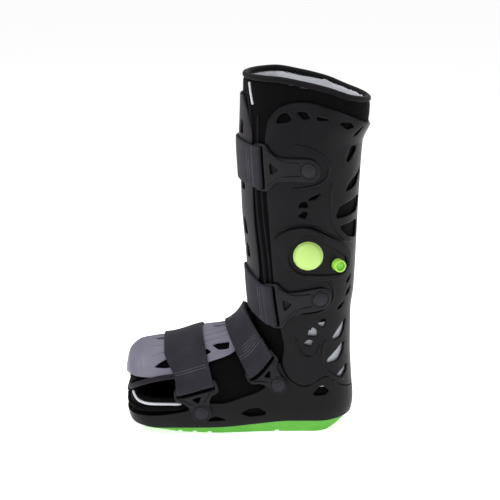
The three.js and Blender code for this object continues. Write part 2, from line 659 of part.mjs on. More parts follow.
function lowerWall(from, to) {
  const lobe = LINE_SHARES.map((share) => share * LOBE_WAY - (share === 1 ? SEAM / 2 : 0));
  const edge = OPEN_EDGE.map((row) => lerp(LOBE_WAY + SEAM / 2, FOOT_WAY, row.on));
  const toe = evenly(FOOT_WAY - TOE_WAY, FOOT_WAY, 5).slice(1, -1);
  const side = [...lobe, ...edge, ...toe].sort((a, b) => a - b);
  const columns = [...side.slice(1, -1).map((way) => -way).reverse(), ...side];
  const top = (way) => (way < LOBE_WAY ? shellLine(way) - SEAM / 2 : openEdge(way));
  const point = (way, v, depth) => {
    const { x } = footPoint(way, LEAN_BELOW / 2, 0);
    return footPoint(way, lerp(undersideOf(SHELL_UNDERSIDE, x), top(Math.abs(way)), v), depth);
  };
  return wall({ columns, levels: [0, 0.3, 1], point, from, to, closed: true });
}
function lowerShell() {
  const floor = slab({
    inset: SHELL_WALL / 2,
    bottom: (x) => undersideOf(SHELL_UNDERSIDE, x) + FLOOR_LIP,
    top: (x) => undersideOf(SHELL_UNDERSIDE, x) + SHELL_FLOOR,
  });
  const cutters = [];
  for (const row of LOWER_WINDOWS) {
    const { half, rear, round } = legPlan(row.up * LOBE_HEIGHT);
    const way = rear - half + round - row.x * TOE_REACH;
    for (const mirror of [false, true]) {
      cutters.push(cutter(row, way, row.up * LOBE_HEIGHT, footPoint, mirror));
    }
  }
  return cutEach(lowerWall(0, SHELL_WALL).add(floor), cutters);
}

// A level slab of the foot's plan, between a bottom and a top that follow x.
function slab({ inset, bottom, top, from = -Infinity, to = Infinity, also = [] }) {
  const heel = HEEL.rear - HEEL.half;
  const endInset = (x) => inset + lean(bottom(x)) + 0.3;
  const start = Math.max(from, endInset(-TOE_REACH) - TOE_REACH);
  const end = Math.min(to, HEEL.rear - endInset(HEEL.rear));
  const corners = evenly(0, Math.PI / 2, 5);
  const stations = [
    ...corners.map((a) => TOE_START - (TOE_START + TOE_REACH - endInset(-TOE_REACH)) * Math.cos(a) ** 0.7),
    ...evenly(TOE_START, heel, 8).slice(1),
    ...corners.slice(1).map((a) => heel + (HEEL.rear - endInset(HEEL.rear) - heel) * Math.sin(a)),
    ...also,
  ];
  const inside = stations.filter((x) => x > start + 1 && x < end - 1);
  return block(
    [start, ...inside, end].sort((a, b) => a - b).map((x) => {
      const [low, high] = [bottom(x), top(x)];
      const half = (z) => Math.max(END_NIB, footHalf(x, z, inset));
      return [
        new THREE.Vector3(x, -half(low), low),
        new THREE.Vector3(x, half(low), low),
        new THREE.Vector3(x, half(high), high),
        new THREE.Vector3(x, -half(high), high),
      ];
    }),
  );
}

const shellReach = (z) => lerp(LOBE_WAY, FRONT_REACH, fromTable(SHELL_FRONT, "up", "on", z / SHELL_HEIGHT));
function upperPoint(u, v, depth) {
  const share = Math.abs(u);
  const bottom = shellLine(share * LOBE_WAY) + SEAM / 2;
  const z = lerp(bottom, SHELL_HEIGHT * fromTable(SHELL_TOP, "way", "up", share), v);
  return legPoint(Math.sign(u) * share * shellReach(z), z, depth);
}
function upperWall(from, to, rise = 0) {
  const columns = [...LINE_SHARES.slice(1).map((u) => -u).reverse(), ...LINE_SHARES];
  return wall({ columns, levels: [...evenly(0, 1, 7).slice(0, -1), 1 + rise], point: upperPoint, from, to });
}
const PLAIN_SIDE = 0.5; // the inner side has only the windows larger than this
function upperShell() {
  const cutters = [];
  for (const row of UPPER_WINDOWS) {
    const small = row.wide * row.tall < PLAIN_SIDE;
    for (const mirror of small ? [false] : [false, true]) {
      cutters.push(cutter(row, row.way * FRONT_REACH, row.up * SHELL_HEIGHT, legPoint, mirror));
    }
  }
  return cutEach(upperWall(0, SHELL_WALL), cutters);
}

// Plates
const plateZ = (v) => lerp(PLATE_BOTTOM, PLATE_TOP, v);
function shinWall(from, to) {
  const point = (u, v, depth) => {
    return shinPoint(u * PLATE_HALF * fromTable(PLATE_SIDE, "up", "half", v), plateZ(v), depth);
  };
  const levels = [...evenly(0, 0.2, 3), ...evenly(0.2, 0.85, 5).slice(1), ...evenly(0.85, 1, 3).slice(1)];
  return wall({ columns: evenly(-1, 1, 8), levels, point, from, to });
}
function shinPlate() {
  const cutters = [];
  for (const row of PLATE_WINDOWS) {
    for (const mirror of [false, true]) {
      cutters.push(cutter(row, row.side * PLATE_HALF, plateZ(row.up), shinPoint, mirror));
    }
  }
  return cutEach(shinWall(0, PLATE_WALL), cutters);
}

function toeWall(from, to) {
  const point = (u, v, depth) => {
    const down = u * ARCH * fromTable(TOE_PLATE_SIDE, "at", "down", v);
    return archPoint(v * TOE_PLATE_SHARE, down, depth);
  };
  const levels = [0, 0.05, 0.12, 0.2, 0.35, 0.5, 0.6, 0.7, 0.8, 0.88, 0.93, 0.965, 1];
  return wall({ columns: evenly(-1, 1, 12), levels, point, from, to });
}
function toePlate() {
  const place = (x, y, depth) => archPoint((y / TOE_REACH) * TOE_PLATE_SHARE, x, depth);
  const cutters = [];
  for (const row of TOE_WINDOWS) {
    for (const mirror of [false, true]) {
      cutters.push(cutter(row, row.down * ARCH, row.at * TOE_REACH, place, mirror));
    }
  }
  return cutEach(toeWall(0, PLATE_WALL), cutters);
}

// Liner and heel pad
const LINER_DEPTH = SHELL_WALL + LINER_GAP;
const LINER_EASE = 0.4; // further in over the foot, where the surface turns most
const BED_TOP = 0.75; // of LOBE_HEIGHT: the foot's slab reaches this far up, and the arch stands on it
function linerForm(depth, bed, over, sides) {
  const rimOver = (share) => BOOT_HEIGHT * fromTable(RIM, "way", "up", Math.abs(share)) + over;
  const around = evenly(-1, 1, sides).slice(1);
  const start = LOBE_HEIGHT * 0.62;
  const heights = LEG_SECTIONS.map((row) => row.up * BOOT_HEIGHT);
  const levels = heights.filter((z) => z > start + 5 && z < SHELL_HEIGHT * 0.97);
  const leg = block([
    ...[start, ...levels].map((z) => around.map((share) => legPoint(share * legPlan(z).girth, z, depth))),
    around.map((share) => legPoint(share * legPlan(rimOver(share)).girth, rimOver(share), depth)),
  ]);
  const foot = slab({
    inset: depth,
    bottom: (x) => undersideOf(SHELL_UNDERSIDE, x) + SHELL_FLOOR + GAP + bed,
    top: () => LOBE_HEIGHT * BED_TOP,
  });
  const across = evenly(-ARCH, ARCH, 8);
  const arch = block(
    [0, 0.06, 0.14, 0.26, 0.4, 0.55, 0.65, 0.74, 0.82, 0.9].map((at) => {
      const ring = across.map((a) => archPoint(at, a, depth + LINER_EASE));
      const ends = [ring[ring.length - 1], ring[0]].map((p) => new THREE.Vector3(p.x, p.y, SOLE_HEIGHT * 2));
      return [...ring, ...ends];
    }),
  );
  return leg.add(foot).add(arch);
}
// The toe's side openings, as shares of TOE_REACH and of LOBE_HEIGHT.
const TOE_OPENING = [
  [-0.945, 0.83], [-0.9, 0.92], [-0.65, 1], [-0.55, 1.02], [-0.55, 0.65], [-0.65, 0.63], [-0.91, 0.67],
];
function padWall(from, to, ease) {
  const point = (way, v, depth) => legPoint(way, lerp(PAD_BOTTOM - ease, PAD_TOP + ease, v), depth);
  const columns = evenly(-PAD_REACH - ease, PAD_REACH + ease, 14);
  return wall({ columns, levels: evenly(0, 1, 3), point, from, to });
}
const PAD_DEPTH = SHELL_WALL + 2 * GAP;
function liner() {
  const inside = linerForm(LINER_DEPTH + LINER_WALL, FOOTBED, 12, 18);
  const body = linerForm(LINER_DEPTH, 0, 0, 18).subtract(inside);
  const room = SHELL_WALL + GAP;
  const opening = formed({
    outline: TOE_OPENING.map(([x, z]) => new THREE.Vector2(x * TOE_REACH, z * LOBE_HEIGHT)),
    from: -FOOT_WIDTH,
    to: FOOT_WIDTH,
    place: (x, z, y) => new THREE.Vector3(x, y, z),
  });
  return cutEach(body, [
    upperWall(-CUT, room, GAP / SHELL_HEIGHT),
    lowerWall(-1, room),
    shinWall(-CUT, room),
    toeWall(-CUT, room),
    padWall(-CUT, PAD_DEPTH + PAD_WALL + GAP, GAP),
    opening,
  ]);
}

// Sole
function outsole() {
  const rubber = slab({
    inset: SOLE_INSET,
    bottom: (x) => undersideOf(TREAD_UNDERSIDE, x),
    top: (x) => undersideOf(SHELL_UNDERSIDE, x) - GAP,
    from: TREAD_UNDERSIDE[0].along * TOE_REACH,
    to: TREAD_UNDERSIDE[TREAD_UNDERSIDE.length - 1].along * TOE_REACH,
    also: TREAD_UNDERSIDE.slice(1, -1).map((row) => row.along * TOE_REACH),
  });
  const grooves = GROOVES.map((share) => {
    const x = share * TOE_REACH;
    const box = new THREE.BoxGeometry(GROOVE_WIDTH, 2 * FOOT_WIDTH, 2 * GROOVE_DEPTH);
    return solidOf(box.translate(x, 0, undersideOf(TREAD_UNDERSIDE, x)));
  });
  return cutEach(rubber, grooves);
}

// Straps, brackets and rivets. A strap is doubled: each end passes through a bracket's slot, round its bar
// and back. Middle of the shin round to the slot of its brackets
const SHIN_SLOT = PLATE_HALF + STRAP_EASE + BRACKET_BAR + BRACKET_SLOT / 2;
const SHIN_STRAPS = [
  { name: "top", up: 0.812, rise: 0.01, rivet: -0.005 },
  { name: "low", up: 0.402, rise: 0.036, rivet: 0.024 },
]; // shares of SHELL_HEIGHT: the slots' height, the strap's rise over the shin, and the rivet above the slot
const FOOT_STRAPS = [
  { name: "ankle", from: 0.74, to: 0.91 },
  { name: "forefoot", from: 0.4, to: 0.6 },
]; // along the arch

function strap(slotAt, width, place, columns, steps) {
  const [bar0, bar1] = [slotAt - BRACKET_SLOT / 2 - BRACKET_BAR, slotAt - BRACKET_SLOT / 2];
  const face = -STRAP_GAP - STRAP_WALL;
  const over = -BRACKET_GAP - BRACKET_WALL - BAR_GAP;
  const under = BAR_GAP - BRACKET_GAP;
  const end = bar1 + BAR_GAP;
  const stop = bar0 - BAR_GAP;
  // The loop round the bar, as outer and inner points: along the strap and depth
  const loop = [
    [[stop - LOOP_LAP - 1, face + LOOP_SKIN], [stop - LOOP_LAP, face + LOOP_WALL]],
    [[bar0, over - LOOP_WALL], [stop, over]],
    [[end + LOOP_WALL, over - LOOP_WALL], [end, over]],
    [[end + LOOP_WALL, under + LOOP_WALL], [end, under]],
    [[stop - 1, under + LOOP_WALL], [stop, under]],
    [[stop - LOOP_LAP - 1, -STRAP_GAP - LOOP_SKIN], [stop - LOOP_LAP, -STRAP_GAP - LOOP_WALL]],
  ];
  const levels = evenly(-width / 2, width / 2, steps);
  const loops = [-1, 1].map((side) => {
    const point = (i, t, skin) => {
      const [a, depth] = loop[i][skin];
      return place(side * a, depth, t);
    };
    return wall({
      columns: loop.map((_, i) => i),
      levels: evenly(LOOP_INSET - width / 2, width / 2 - LOOP_INSET, steps),
      point,
      from: 0,
      to: 1,
    });
  });
  const point = (a, t, depth) => place(a, depth, t);
  const spread = [-stop, ...evenly(2 * LOOP_LAP - stop, stop - 2 * LOOP_LAP, columns), stop];
  const main = wall({ columns: spread, levels, point, from: face, to: -STRAP_GAP });
  return main.add(loops[0]).add(loops[1]);
}
const shinStrapPlace = (row) => (a, depth, t) => {
  const share = Math.min(1, Math.abs(a) / (SHIN_SLOT - BRACKET_SLOT - BRACKET_BAR - 2));
  const rise = row.rise * SHELL_HEIGHT * Math.cos((share * Math.PI) / 2);
  return shinPoint(a, row.up * SHELL_HEIGHT + rise + t, depth);
};
const footStrapPlace = (row) => (a, depth, t) => {
  return archPoint(lerp(row.from, row.to, t / FOOT_STRAP + 0.5), a, depth);
};

function bracket(width, reach, place, lines, plain) {
  const s = BRACKET_SLOT / 2;
  const bar = -s - BRACKET_BAR;
  const high = width / 2 + BRACKET_RIM;
  const eye = RIVET_EYE / 2;
  const end = evenly(1.9, -1.9, 6).map((a) => [reach + eye * Math.cos(a), eye * Math.sin(a)]);
  const neck = lerp(s, reach - eye, BRACKET_NECK);
  const upper = [[bar, high], [s + 2, high], [neck, lerp(eye, high, 0.25)]];
  const outline = [...upper, ...end, ...upper.map(([m, p]) => [m, -p]).reverse()];
  const tip = lerp(s, reach, BRACKET_TIP);
  const base = s + BRACKET_RIM;
  const tall = width * 0.16;
  const points = (list) => list.map(([m, p]) => new THREE.Vector2(m, p));
  const holes = [
    points([[-s, -width / 2 - GAP], [s, -width / 2 - GAP], [s, width / 2 + GAP], [-s, width / 2 + GAP]]),
    circle(reach, 0, RIVET_SHANK / 2 + 2 * GAP, 10),
  ];
  if (!plain) holes.push(points([[base, -tall], [tip - 2, 0], [base, tall]]));
  const [from, to] = [-BRACKET_GAP - BRACKET_WALL, -BRACKET_GAP];
  return formed({ outline: points(outline), holes, from, to, lines, place });
}
const shinBracketPlace = (row, side) => (m, p, depth) => {
  const lift = (row.rivet * SHELL_HEIGHT * Math.max(0, m)) / SHIN_BRACKET;
  return shinPoint(side * (SHIN_SLOT + m), row.up * SHELL_HEIGHT + lift + p, depth);
};
const footBracketPlace = (row, side) => (m, p, depth) => {
  return archPoint(lerp(row.from, row.to, p / FOOT_STRAP + 0.5), side * (ARCH + m), depth);
};

// Each strap's four fastenings: where its brackets lie, and the rivet that each swivels on.
const FASTENINGS = [-1, 1].flatMap((side) => [
  ...SHIN_STRAPS.map((row) => {
    return { row, side, reach: SHIN_BRACKET, width: SHIN_STRAP, place: shinBracketPlace(row, side) };
  }),
  ...FOOT_STRAPS.map((row) => {
    return { row, side, reach: FOOT_BRACKET, width: FOOT_STRAP, place: footBracketPlace(row, side) };
  }),
]);
function rivet({ reach, place }) {
  const seat = BRACKET_GAP + BRACKET_WALL + GAP;
  const top = seat + RIVET_HEAD_HEIGHT;
  const [head, shank] = [RIVET_HEAD / 2, RIVET_SHANK / 2];
  const profile = [[0, GAP - SHELL_WALL], [shank, GAP - SHELL_WALL], [shank, seat], [head, seat]];
  profile.push([head, top - 1], [head - 1, top], [0, top]);
  return turned(profile, 14, place(reach, 0, 0), outwardAt(place, reach, 0));
}
function rivetHoles(kind) {
  const here = FASTENINGS.filter(({ reach }) => reach === kind);
  return here.map(({ reach, place }) =>
    rod(RIVET_SHANK / 2 + GAP, -CUT, CUT, place(reach, 0, 0), outwardAt(place, reach, 0), 10),
  );
}

// Pump: the cover's outline as shares of COVER_REACH behind and above the bulb.
const COVER = [
  [-0.74, 0.25], [-0.68, 0.42], [-0.54, 0.54], [-0.35, 0.61], [-0.1, 0.63], [0.1, 0.58], [0.47, 0.37],
  [0.84, 0.16], [0.98, -0.02], [0.98, -0.33], [0.84, -0.51], [0.6, -0.56], [0.03, -0.53], [-0.25, -0.44],
  [-0.46, -0.23], [-0.6, 0.05],
];
const pumpPlace = (back, up, depth) => legPoint(BULB_AROUND - back, BULB_UP + up, depth);
const VALVE_SEAT = pumpPlace(VALVE_BACK, -VALVE_DOWN, 0);
const VALVE_AXIS = new THREE.Vector3(Math.sin(VALVE_TURN), -Math.cos(VALVE_TURN), 0);
const VALVE_FOOT =
  GAP + (VALVE_DIAMETER / 2) * Math.tan(VALVE_AXIS.angleTo(outwardAt(pumpPlace, VALVE_BACK, -VALVE_DOWN)));
function pumpCover() {
  const ring = BULB_DIAMETER / 2 + 5;
  const small = VALVE_DIAMETER / 2 + 5;
  const turn = Math.atan2(-VALVE_DOWN, VALVE_BACK);
  const lap = Math.acos((ring - small) / Math.hypot(VALVE_BACK, VALVE_DOWN));
  const arc = (x, y, r, from, to, count) => {
    return evenly(from, to, count).map((a) => new THREE.Vector2(x + r * Math.cos(a), y + r * Math.sin(a)));
  };
  const pocket = [
    ...arc(0, 0, ring, turn + lap, turn - lap + 2 * Math.PI, 12),
    ...arc(VALVE_BACK, -VALVE_DOWN, small, turn - lap, turn + lap, 5),
  ];
  const face = -BRACKET_GAP - COVER_STAND;
  const lines = [evenly(-0.53 * COVER_REACH, 0.84 * COVER_REACH, 6), []];
  const cover = formed({
    outline: COVER.map(([back, up]) => new THREE.Vector2(back * COVER_REACH, up * COVER_REACH)),
    holes: [circle(0, 0, BULB_DIAMETER / 2 + 2 * GAP, 20)],
    from: face,
    to: -BRACKET_GAP,
    lines,
    place: pumpPlace,
  });
  const recess = formed({ outline: pocket, from: face - 2, to: face + COVER_POCKET, lines, place: pumpPlace });
  const valveHole = rod(VALVE_DIAMETER / 2 + GAP, -CUT, 3 * CUT, VALVE_SEAT, VALVE_AXIS, 14);
  return cover.subtract(recess).subtract(valveHole);
}
function pumpBulb() {
  const radius = BULB_DIAMETER / 2;
  const skirt = COVER_STAND - COVER_POCKET + GAP;
  const rise = BULB_HEIGHT - skirt;
  const dome = evenly(0, Math.PI / 2, 5).map((a) => [radius * Math.cos(a), skirt + rise * Math.sin(a)]);
  dome[dome.length - 1][0] = 0;
  return turned([[0, GAP], [radius, GAP], ...dome], 20, pumpPlace(0, 0, 0), outwardAt(pumpPlace, 0, 0));
}
function valveTube() {
  const [inner, outer] = [VALVE_BORE / 2, VALVE_DIAMETER / 2];
  const top = VALVE_FOOT + VALVE_LENGTH;
  const profile = [[inner, VALVE_FOOT], [outer, VALVE_FOOT], [outer, top - 1], [outer - 1, top], [inner, top]];
  return turned([...profile, profile[0]], 16, VALVE_SEAT, VALVE_AXIS);
}
function valveButton() {
  const top = VALVE_FOOT + VALVE_LENGTH - BUTTON_SET_BACK;
  const radius = VALVE_BORE / 2 - GAP;
  const profile = [[0, top - BUTTON_LENGTH], [radius, top - BUTTON_LENGTH], [radius, top - 0.6]];
  return turned([...profile, [radius - 0.6, top], [0, top]], 14, VALVE_SEAT, VALVE_AXIS);
}

const group = new THREE.Group();
const FINISH = {
  shell: { color: 0x2b2a30, roughness: 0.5 },
  plate: { color: 0x5f5d69, roughness: 0.55 },
  fabric: { color: 0x0d0b12, roughness: 0.95 },
  webbing: { color: 0x35333c, roughness: 0.9 },
  lime: { color: 0xc2e67a, roughness: 0.45 },
  button: { color: 0x8ccd41, roughness: 0.45 },
  rubber: { color: 0x78c84b, roughness: 0.7 },
  pad: { color: 0xa9abb4, roughness: 0.8 },
};
function add(name, solid, finish) {
  const material = new THREE.MeshStandardMaterial({ metalness: 0, ...FINISH[finish] });
  const mesh = new THREE.Mesh(geometryOf(solid), material);
  mesh.name = name;
  group.add(mesh);
}

add("outsole", outsole(), "rubber");
add("lower_shell", cutEach(lowerShell(), rivetHoles(FOOT_BRACKET)), "shell");
add("upper_shell", cutEach(upperShell(), rivetHoles(SHIN_BRACKET)), "shell");
add("shin_plate", shinPlate(), "plate");
add("toe_plate", toePlate(), "plate");
add("liner", liner(), "fabric");
add("heel_pad", padWall(PAD_DEPTH, PAD_DEPTH + PAD_WALL, 0), "pad");
for (const row of SHIN_STRAPS) {
  add(`strap_shin_${row.name}`, strap(SHIN_SLOT, SHIN_STRAP, shinStrapPlace(row), 8, 2), "webbing");
}
for (const row of FOOT_STRAPS) {
  add(`strap_${row.name}`, strap(ARCH, FOOT_STRAP, footStrapPlace(row), 12, 4), "webbing");
}
for (const fastening of FASTENINGS) {
  const { row, side, reach, width, place } = fastening;
  const name = `${reach === SHIN_BRACKET ? `shin_${row.name}` : row.name}_${side > 0 ? "outer" : "inner"}`;
  const shinLines = [evenly(0, 1.1 * reach, 5), []];
  const lines = reach === SHIN_BRACKET ? shinLines : [[], evenly(-width / 4, width / 4, 2)];
  add(`bracket_${name}`, bracket(width, reach, place, lines, side < 0), "shell");
  add(`rivet_${name}`, rivet(fastening), "shell");
}
add("pump_cover", pumpCover(), "shell");
add("pump_bulb", pumpBulb(), "lime");
add("valve_tube", valveTube(), "lime");
add("valve_button", valveButton(), "button");

export default group;
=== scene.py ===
# %% [markdown]
# # A medical walking boot
# A tall walker boot: rigid plastic shells and plates round a padded liner, held by four straps and pumped
# up with a green bulb. The frame gives the real sizes; the steps below add the looks. Lengths are in
# millimetres here and become metres where each mesh is made.

# %% Load the frame
from functools import cache
from math import acos, atan2, cos, hypot, pi, radians, sin, sqrt, tan
import bmesh
import bpy
from mathutils import Matrix, Vector


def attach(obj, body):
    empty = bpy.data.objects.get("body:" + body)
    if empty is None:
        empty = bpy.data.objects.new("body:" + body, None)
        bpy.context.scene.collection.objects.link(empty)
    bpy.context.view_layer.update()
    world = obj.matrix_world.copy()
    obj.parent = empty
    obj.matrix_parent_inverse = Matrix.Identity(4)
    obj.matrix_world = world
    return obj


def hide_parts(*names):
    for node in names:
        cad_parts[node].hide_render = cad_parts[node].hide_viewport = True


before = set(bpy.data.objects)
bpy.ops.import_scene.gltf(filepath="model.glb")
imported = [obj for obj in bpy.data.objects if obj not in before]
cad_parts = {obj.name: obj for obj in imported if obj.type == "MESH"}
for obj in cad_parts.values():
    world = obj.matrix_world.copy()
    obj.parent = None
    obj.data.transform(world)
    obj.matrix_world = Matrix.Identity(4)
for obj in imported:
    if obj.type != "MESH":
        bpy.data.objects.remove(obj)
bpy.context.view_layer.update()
MM = 0.001

# %% Helpers for objects
def add_object(name, data):
    piece = bpy.data.objects.new(name, data)
    bpy.context.scene.collection.objects.link(piece)
    return piece

def select_only(piece):
    bpy.ops.object.select_all(action="DESELECT")
    bpy.context.view_layer.objects.active = piece
    piece.select_set(True)

# %% [markdown]
# ## Camera, light and floor
# The photograph is a product shot from the outer side, a little above the floor, with a long lens. The
# light is soft and comes from all round, a touch stronger from the upper left, and the shadow under the
# sole is faint.

# %% Camera
AIM = Vector((0, 0, 0.225))
DISTANCE = 1.842
ELEVATION = radians(15)
camera = add_object("camera", bpy.data.cameras.new("camera"))
camera.location = AIM + DISTANCE * Vector((0, -cos(ELEVATION), sin(ELEVATION)))
camera.rotation_euler = (pi / 2 - ELEVATION, 0, 0)
camera.data.lens = 108
camera.data.sensor_width = 36
bpy.context.scene.camera = camera

# %% Light
LIGHTS_AIM = Vector((0, 0, 0.22))

def softbox(name, place, size, power):
    light = bpy.data.lights.new(name, "AREA")
    light.size = size
    light.energy = power
    lamp = add_object(name, light)
    lamp.location = place
    lamp.rotation_euler = (LIGHTS_AIM - Vector(place)).to_track_quat("-Z", "Y").to_euler()

softbox("key_light", (-1.1, -0.8, 1.3), 0.45, 14)
softbox("fill_light", (1.3, -0.9, 0.8), 1.0, 5)
softbox("top_light", (0.0, 0.2, 1.6), 1.0, 10)
softbox("back_light", (0.6, 1.4, 0.9), 1.0, 7)
world = bpy.data.worlds.new("studio")
bpy.context.scene.world = world
world.use_nodes = True
sky = world.node_tree.nodes["Background"].inputs
sky["Color"].default_value = (1, 1, 1, 1)
sky["Strength"].default_value = 0.27
# The standard view keeps the blacks as deep as they are in the photograph.
bpy.context.scene.view_settings.view_transform = "Standard"

# %% [markdown]
# ## Finishes
# Every plastic here has a fine moulded grain, every cloth a weave, and the rubber a dull skin. Each finish
# is a small node tree on Object coordinates: one noise for slow changes of colour and roughness, one fine
# pattern for bump.

# %% Helpers for finishes
def linear(red, green, blue):
    def one(value):
        value /= 255
        return value / 12.92 if value <= 0.04045 else ((value + 0.055) / 1.055) ** 2.4
    return (one(red), one(green), one(blue), 1.0)

def add_node(tree, kind, **settings):
    node = tree.nodes.new(kind)
    for key, value in settings.items():
        if key in node.inputs:
            node.inputs[key].default_value = value
        else:
            setattr(node, key, value)
    return node

def finish(name, dark, light, roughness, grain=900.0, bump=0.12, sheen=0.0, weave=None, coat=0.0,
           specular=0.5):
    """A finish that wanders between two colours, with a fine grain or a weave for bump."""
    material = bpy.data.materials.new(name)
    material.use_nodes = True
    tree = material.node_tree
    def wire(source, output, target, socket):
        tree.links.new(source.outputs[output], target.inputs[socket])
    shader = tree.nodes["Principled BSDF"]
    place = add_node(tree, "ShaderNodeTexCoord")
    drift = add_node(tree, "ShaderNodeTexNoise", Scale=38.0, Detail=4.0)
    wire(place, "Object", drift, "Vector")
    colours = add_node(tree, "ShaderNodeValToRGB")
    for stop, position, colour in zip(colours.color_ramp.elements, (0.3, 0.72), (dark, light)):
        stop.position = position
        stop.color = linear(*colour)
    wire(drift, "Fac", colours, "Fac")
    wire(colours, "Color", shader, "Base Color")
    rough = add_node(tree, "ShaderNodeMapRange", **{"To Min": roughness - 0.06, "To Max": roughness + 0.08})
    wire(drift, "Fac", rough, "Value")
    wire(rough, "Result", shader, "Roughness")
    relief = add_node(tree, "ShaderNodeBump", Strength=bump, Distance=0.0004)
    if weave:
        pattern, output = add_node(tree, "ShaderNodeTexVoronoi", Scale=weave), "Distance"
    else:
        pattern, output = add_node(tree, "ShaderNodeTexNoise", Scale=grain, Detail=3.0), "Fac"
    wire(place, "Object", pattern, "Vector")
    wire(pattern, output, relief, "Height")
    wire(relief, "Normal", shader, "Normal")
    for socket, value in (("Sheen Weight", sheen), ("Coat Weight", coat), ("Specular IOR Level", specular)):
        shader.inputs[socket].default_value = value
    return material

# %% The finishes
SHELL = finish("charcoal_plastic", (11, 10, 13), (17, 16, 20), 0.4, specular=0.15)
LOWER = finish("charcoal_plastic_lower", (11, 10, 12), (16, 15, 18), 0.43, specular=0.15)
BRACKET = finish("bracket_plastic", (17, 15, 20), (24, 22, 28), 0.38, specular=0.2)
TOE = finish("toe_grey_plastic", (112, 109, 124), (124, 121, 136), 0.45, specular=0.3)
SHIN = finish("shin_grey_plastic", (31, 28, 32), (40, 37, 42), 0.5, specular=0.2)
WEBBING = finish("strap_webbing", (38, 36, 43), (49, 47, 55), 0.85, specular=0.15, sheen=0.1,
                 weave=1400.0, bump=0.5)
THREAD = finish("stitch_thread", (92, 90, 102), (112, 110, 124), 0.8, specular=0.2)
CLOTH = finish("liner_cloth", (3, 3, 4), (7, 7, 9), 0.95, specular=0.1, sheen=0.02, weave=900.0,
               bump=0.35)
BINDING = finish("liner_binding", (26, 23, 29), (37, 34, 41), 0.9, specular=0.15, sheen=0.1,
                 weave=1500.0, bump=0.5)
ROLLED = finish("rim_binding", (12, 11, 14), (19, 17, 22), 0.85, specular=0.15, sheen=0.05,
                weave=1500.0, bump=0.4)
LINING = finish("white_lining", (202, 204, 210), (218, 220, 225), 0.9, sheen=0.2, weave=700.0, bump=0.4)
PAD = finish("heel_pad_grey", (160, 163, 170), (186, 189, 196), 0.6)
LIME = finish("pale_green_rubber", (186, 224, 118), (196, 232, 132), 0.45, grain=500.0, bump=0.05,
              coat=0.1)
BRIGHT = finish("bright_green_plastic", (160, 218, 70), (174, 228, 88), 0.35, grain=500.0, bump=0.03,
                coat=0.2)
BUTTON = finish("button_green", (122, 204, 40), (134, 214, 52), 0.38, grain=500.0, bump=0.03,
                coat=0.1)
RUBBER = finish("green_sole_rubber", (92, 172, 58), (106, 186, 72), 0.6, grain=700.0, bump=0.2,
                specular=0.25)
RIVET = finish("rivet_plastic", (22, 21, 28), (29, 28, 36), 0.5, specular=0.3)
print("finishes", len(bpy.data.materials))

# %% The floor
bpy.ops.mesh.primitive_plane_add(size=24, location=(0, 0, -0.0002))
floor = bpy.context.object
floor.name = "floor"
PAPER = finish("paper_floor", (243, 243, 244), (246, 246, 247), 0.9, bump=0.0, specular=0.1)
glow = PAPER.node_tree.nodes["Principled BSDF"].inputs
glow["Emission Color"].default_value = (1, 1, 1, 1)
glow["Emission Strength"].default_value = 0.72
floor.data.materials.append(PAPER)

# %% [markdown]
# ## The shapes that the boot is built on
# All rigid pieces lie on three surfaces: the leg, the foot's side and the arch over the foot. Each surface
# turns a flat place (a distance round it, a height or a share along it, and a depth) into a point. So a
# plate can be drawn flat, as on a cutting mat, and then wrapped on to the boot.

# %% Sizes
BOOT_HEIGHT, SHELL_HEIGHT, LEG_AXIS, CALF_DEPTH = 445, 418, 61, 150
CALF_WIDTH, HEEL_WIDTH, FOOT_WIDTH = 120, 92, 106
TOE_REACH, TOE_ARC, TOE_BLUNT, INSTEP_HEIGHT = 154, 40, 2.6, 130
SHELL_WALL, SHELL_FLOOR, SOLE_HEIGHT = 2.8, 3, 17.5
LEAN, LEAN_BELOW, WIDEN_FROM, WIDEN_OVER = 12, 36, 40, 100
LOBE_WAY, LOBE_HEIGHT, FRONT_REACH, ARCH = 114, 77, 165, 95
PLATE_HALF, PLATE_TOP, PLATE_BOTTOM, TOE_PLATE_SHARE, WINDOW = 44, 420, 138, 0.8, 20

LEG_SECTIONS = [
    (0, -0.34, 0.453, 0), (0.09, -0.34, 0.453, 0), (0.15, -0.345, 0.44, 0), (0.24, -0.365, 0.425, 0.04),
    (0.337, -0.4, 0.424, 0.2), (0.404, -0.42, 0.445, 0.39), (0.503, -0.44, 0.458, 0.57),
    (0.625, -0.472, 0.469, 0.79), (0.712, -0.483, 0.48, 0.9), (0.815, -0.498, 0.498, 1),
    (0.875, -0.492, 0.565, 0.95), (0.94, -0.487, 0.575, 0.9), (1.02, -0.485, 0.58, 0.88),
]
INSTEP_SECTIONS = [
    (0, 1, 0.615, 0.985, 0.48, 0), (0.1, 0.974, 0.746, 0.954, 0.44, 0), (0.21, 0.869, 0.85, 0.843, 0.4, 4),
    (0.32, 0.725, 0.877, 0.7, 0.395, 10), (0.4, 0.621, 0.892, 0.575, 0.415, 15),
    (0.6, 0.379, 0.977, 0.281, 0.508, 17), (0.74, 0.19, 1.015, -0.0065, 0.577, 40),
    (0.91, 0.033, 1.205, -0.19, 0.8, 45), (1.0, 0.005, 1.38, -0.268, 0.95, 50),
]
SHELL_UNDERSIDE = [(-1, 0.84), (-0.86, 0.72), (-0.7, 0.56), (-0.24, 0.58), (0.03, 0.76), (0.34, 1), (0.55, 1),
                   (0.84, 1.17)]
SHELL_LINE = [(0, 0.7), (0.26, 0.77), (0.38, 0.85), (0.515, 1), (0.61, 0.94), (0.76, 0.835), (0.89, 0.92),
              (0.96, 1.04), (1, 1.19)]
OPEN_EDGE = [(0, 1.22), (0.012, 1.24), (0.05, 1.1), (0.1, 0.8), (0.22, 0.66), (0.33, 0.57), (0.39, 0.58),
             (0.425, 0.64), (0.46, 0.58), (0.52, 0.44), (0.7, 0.37), (1, 0.37)]
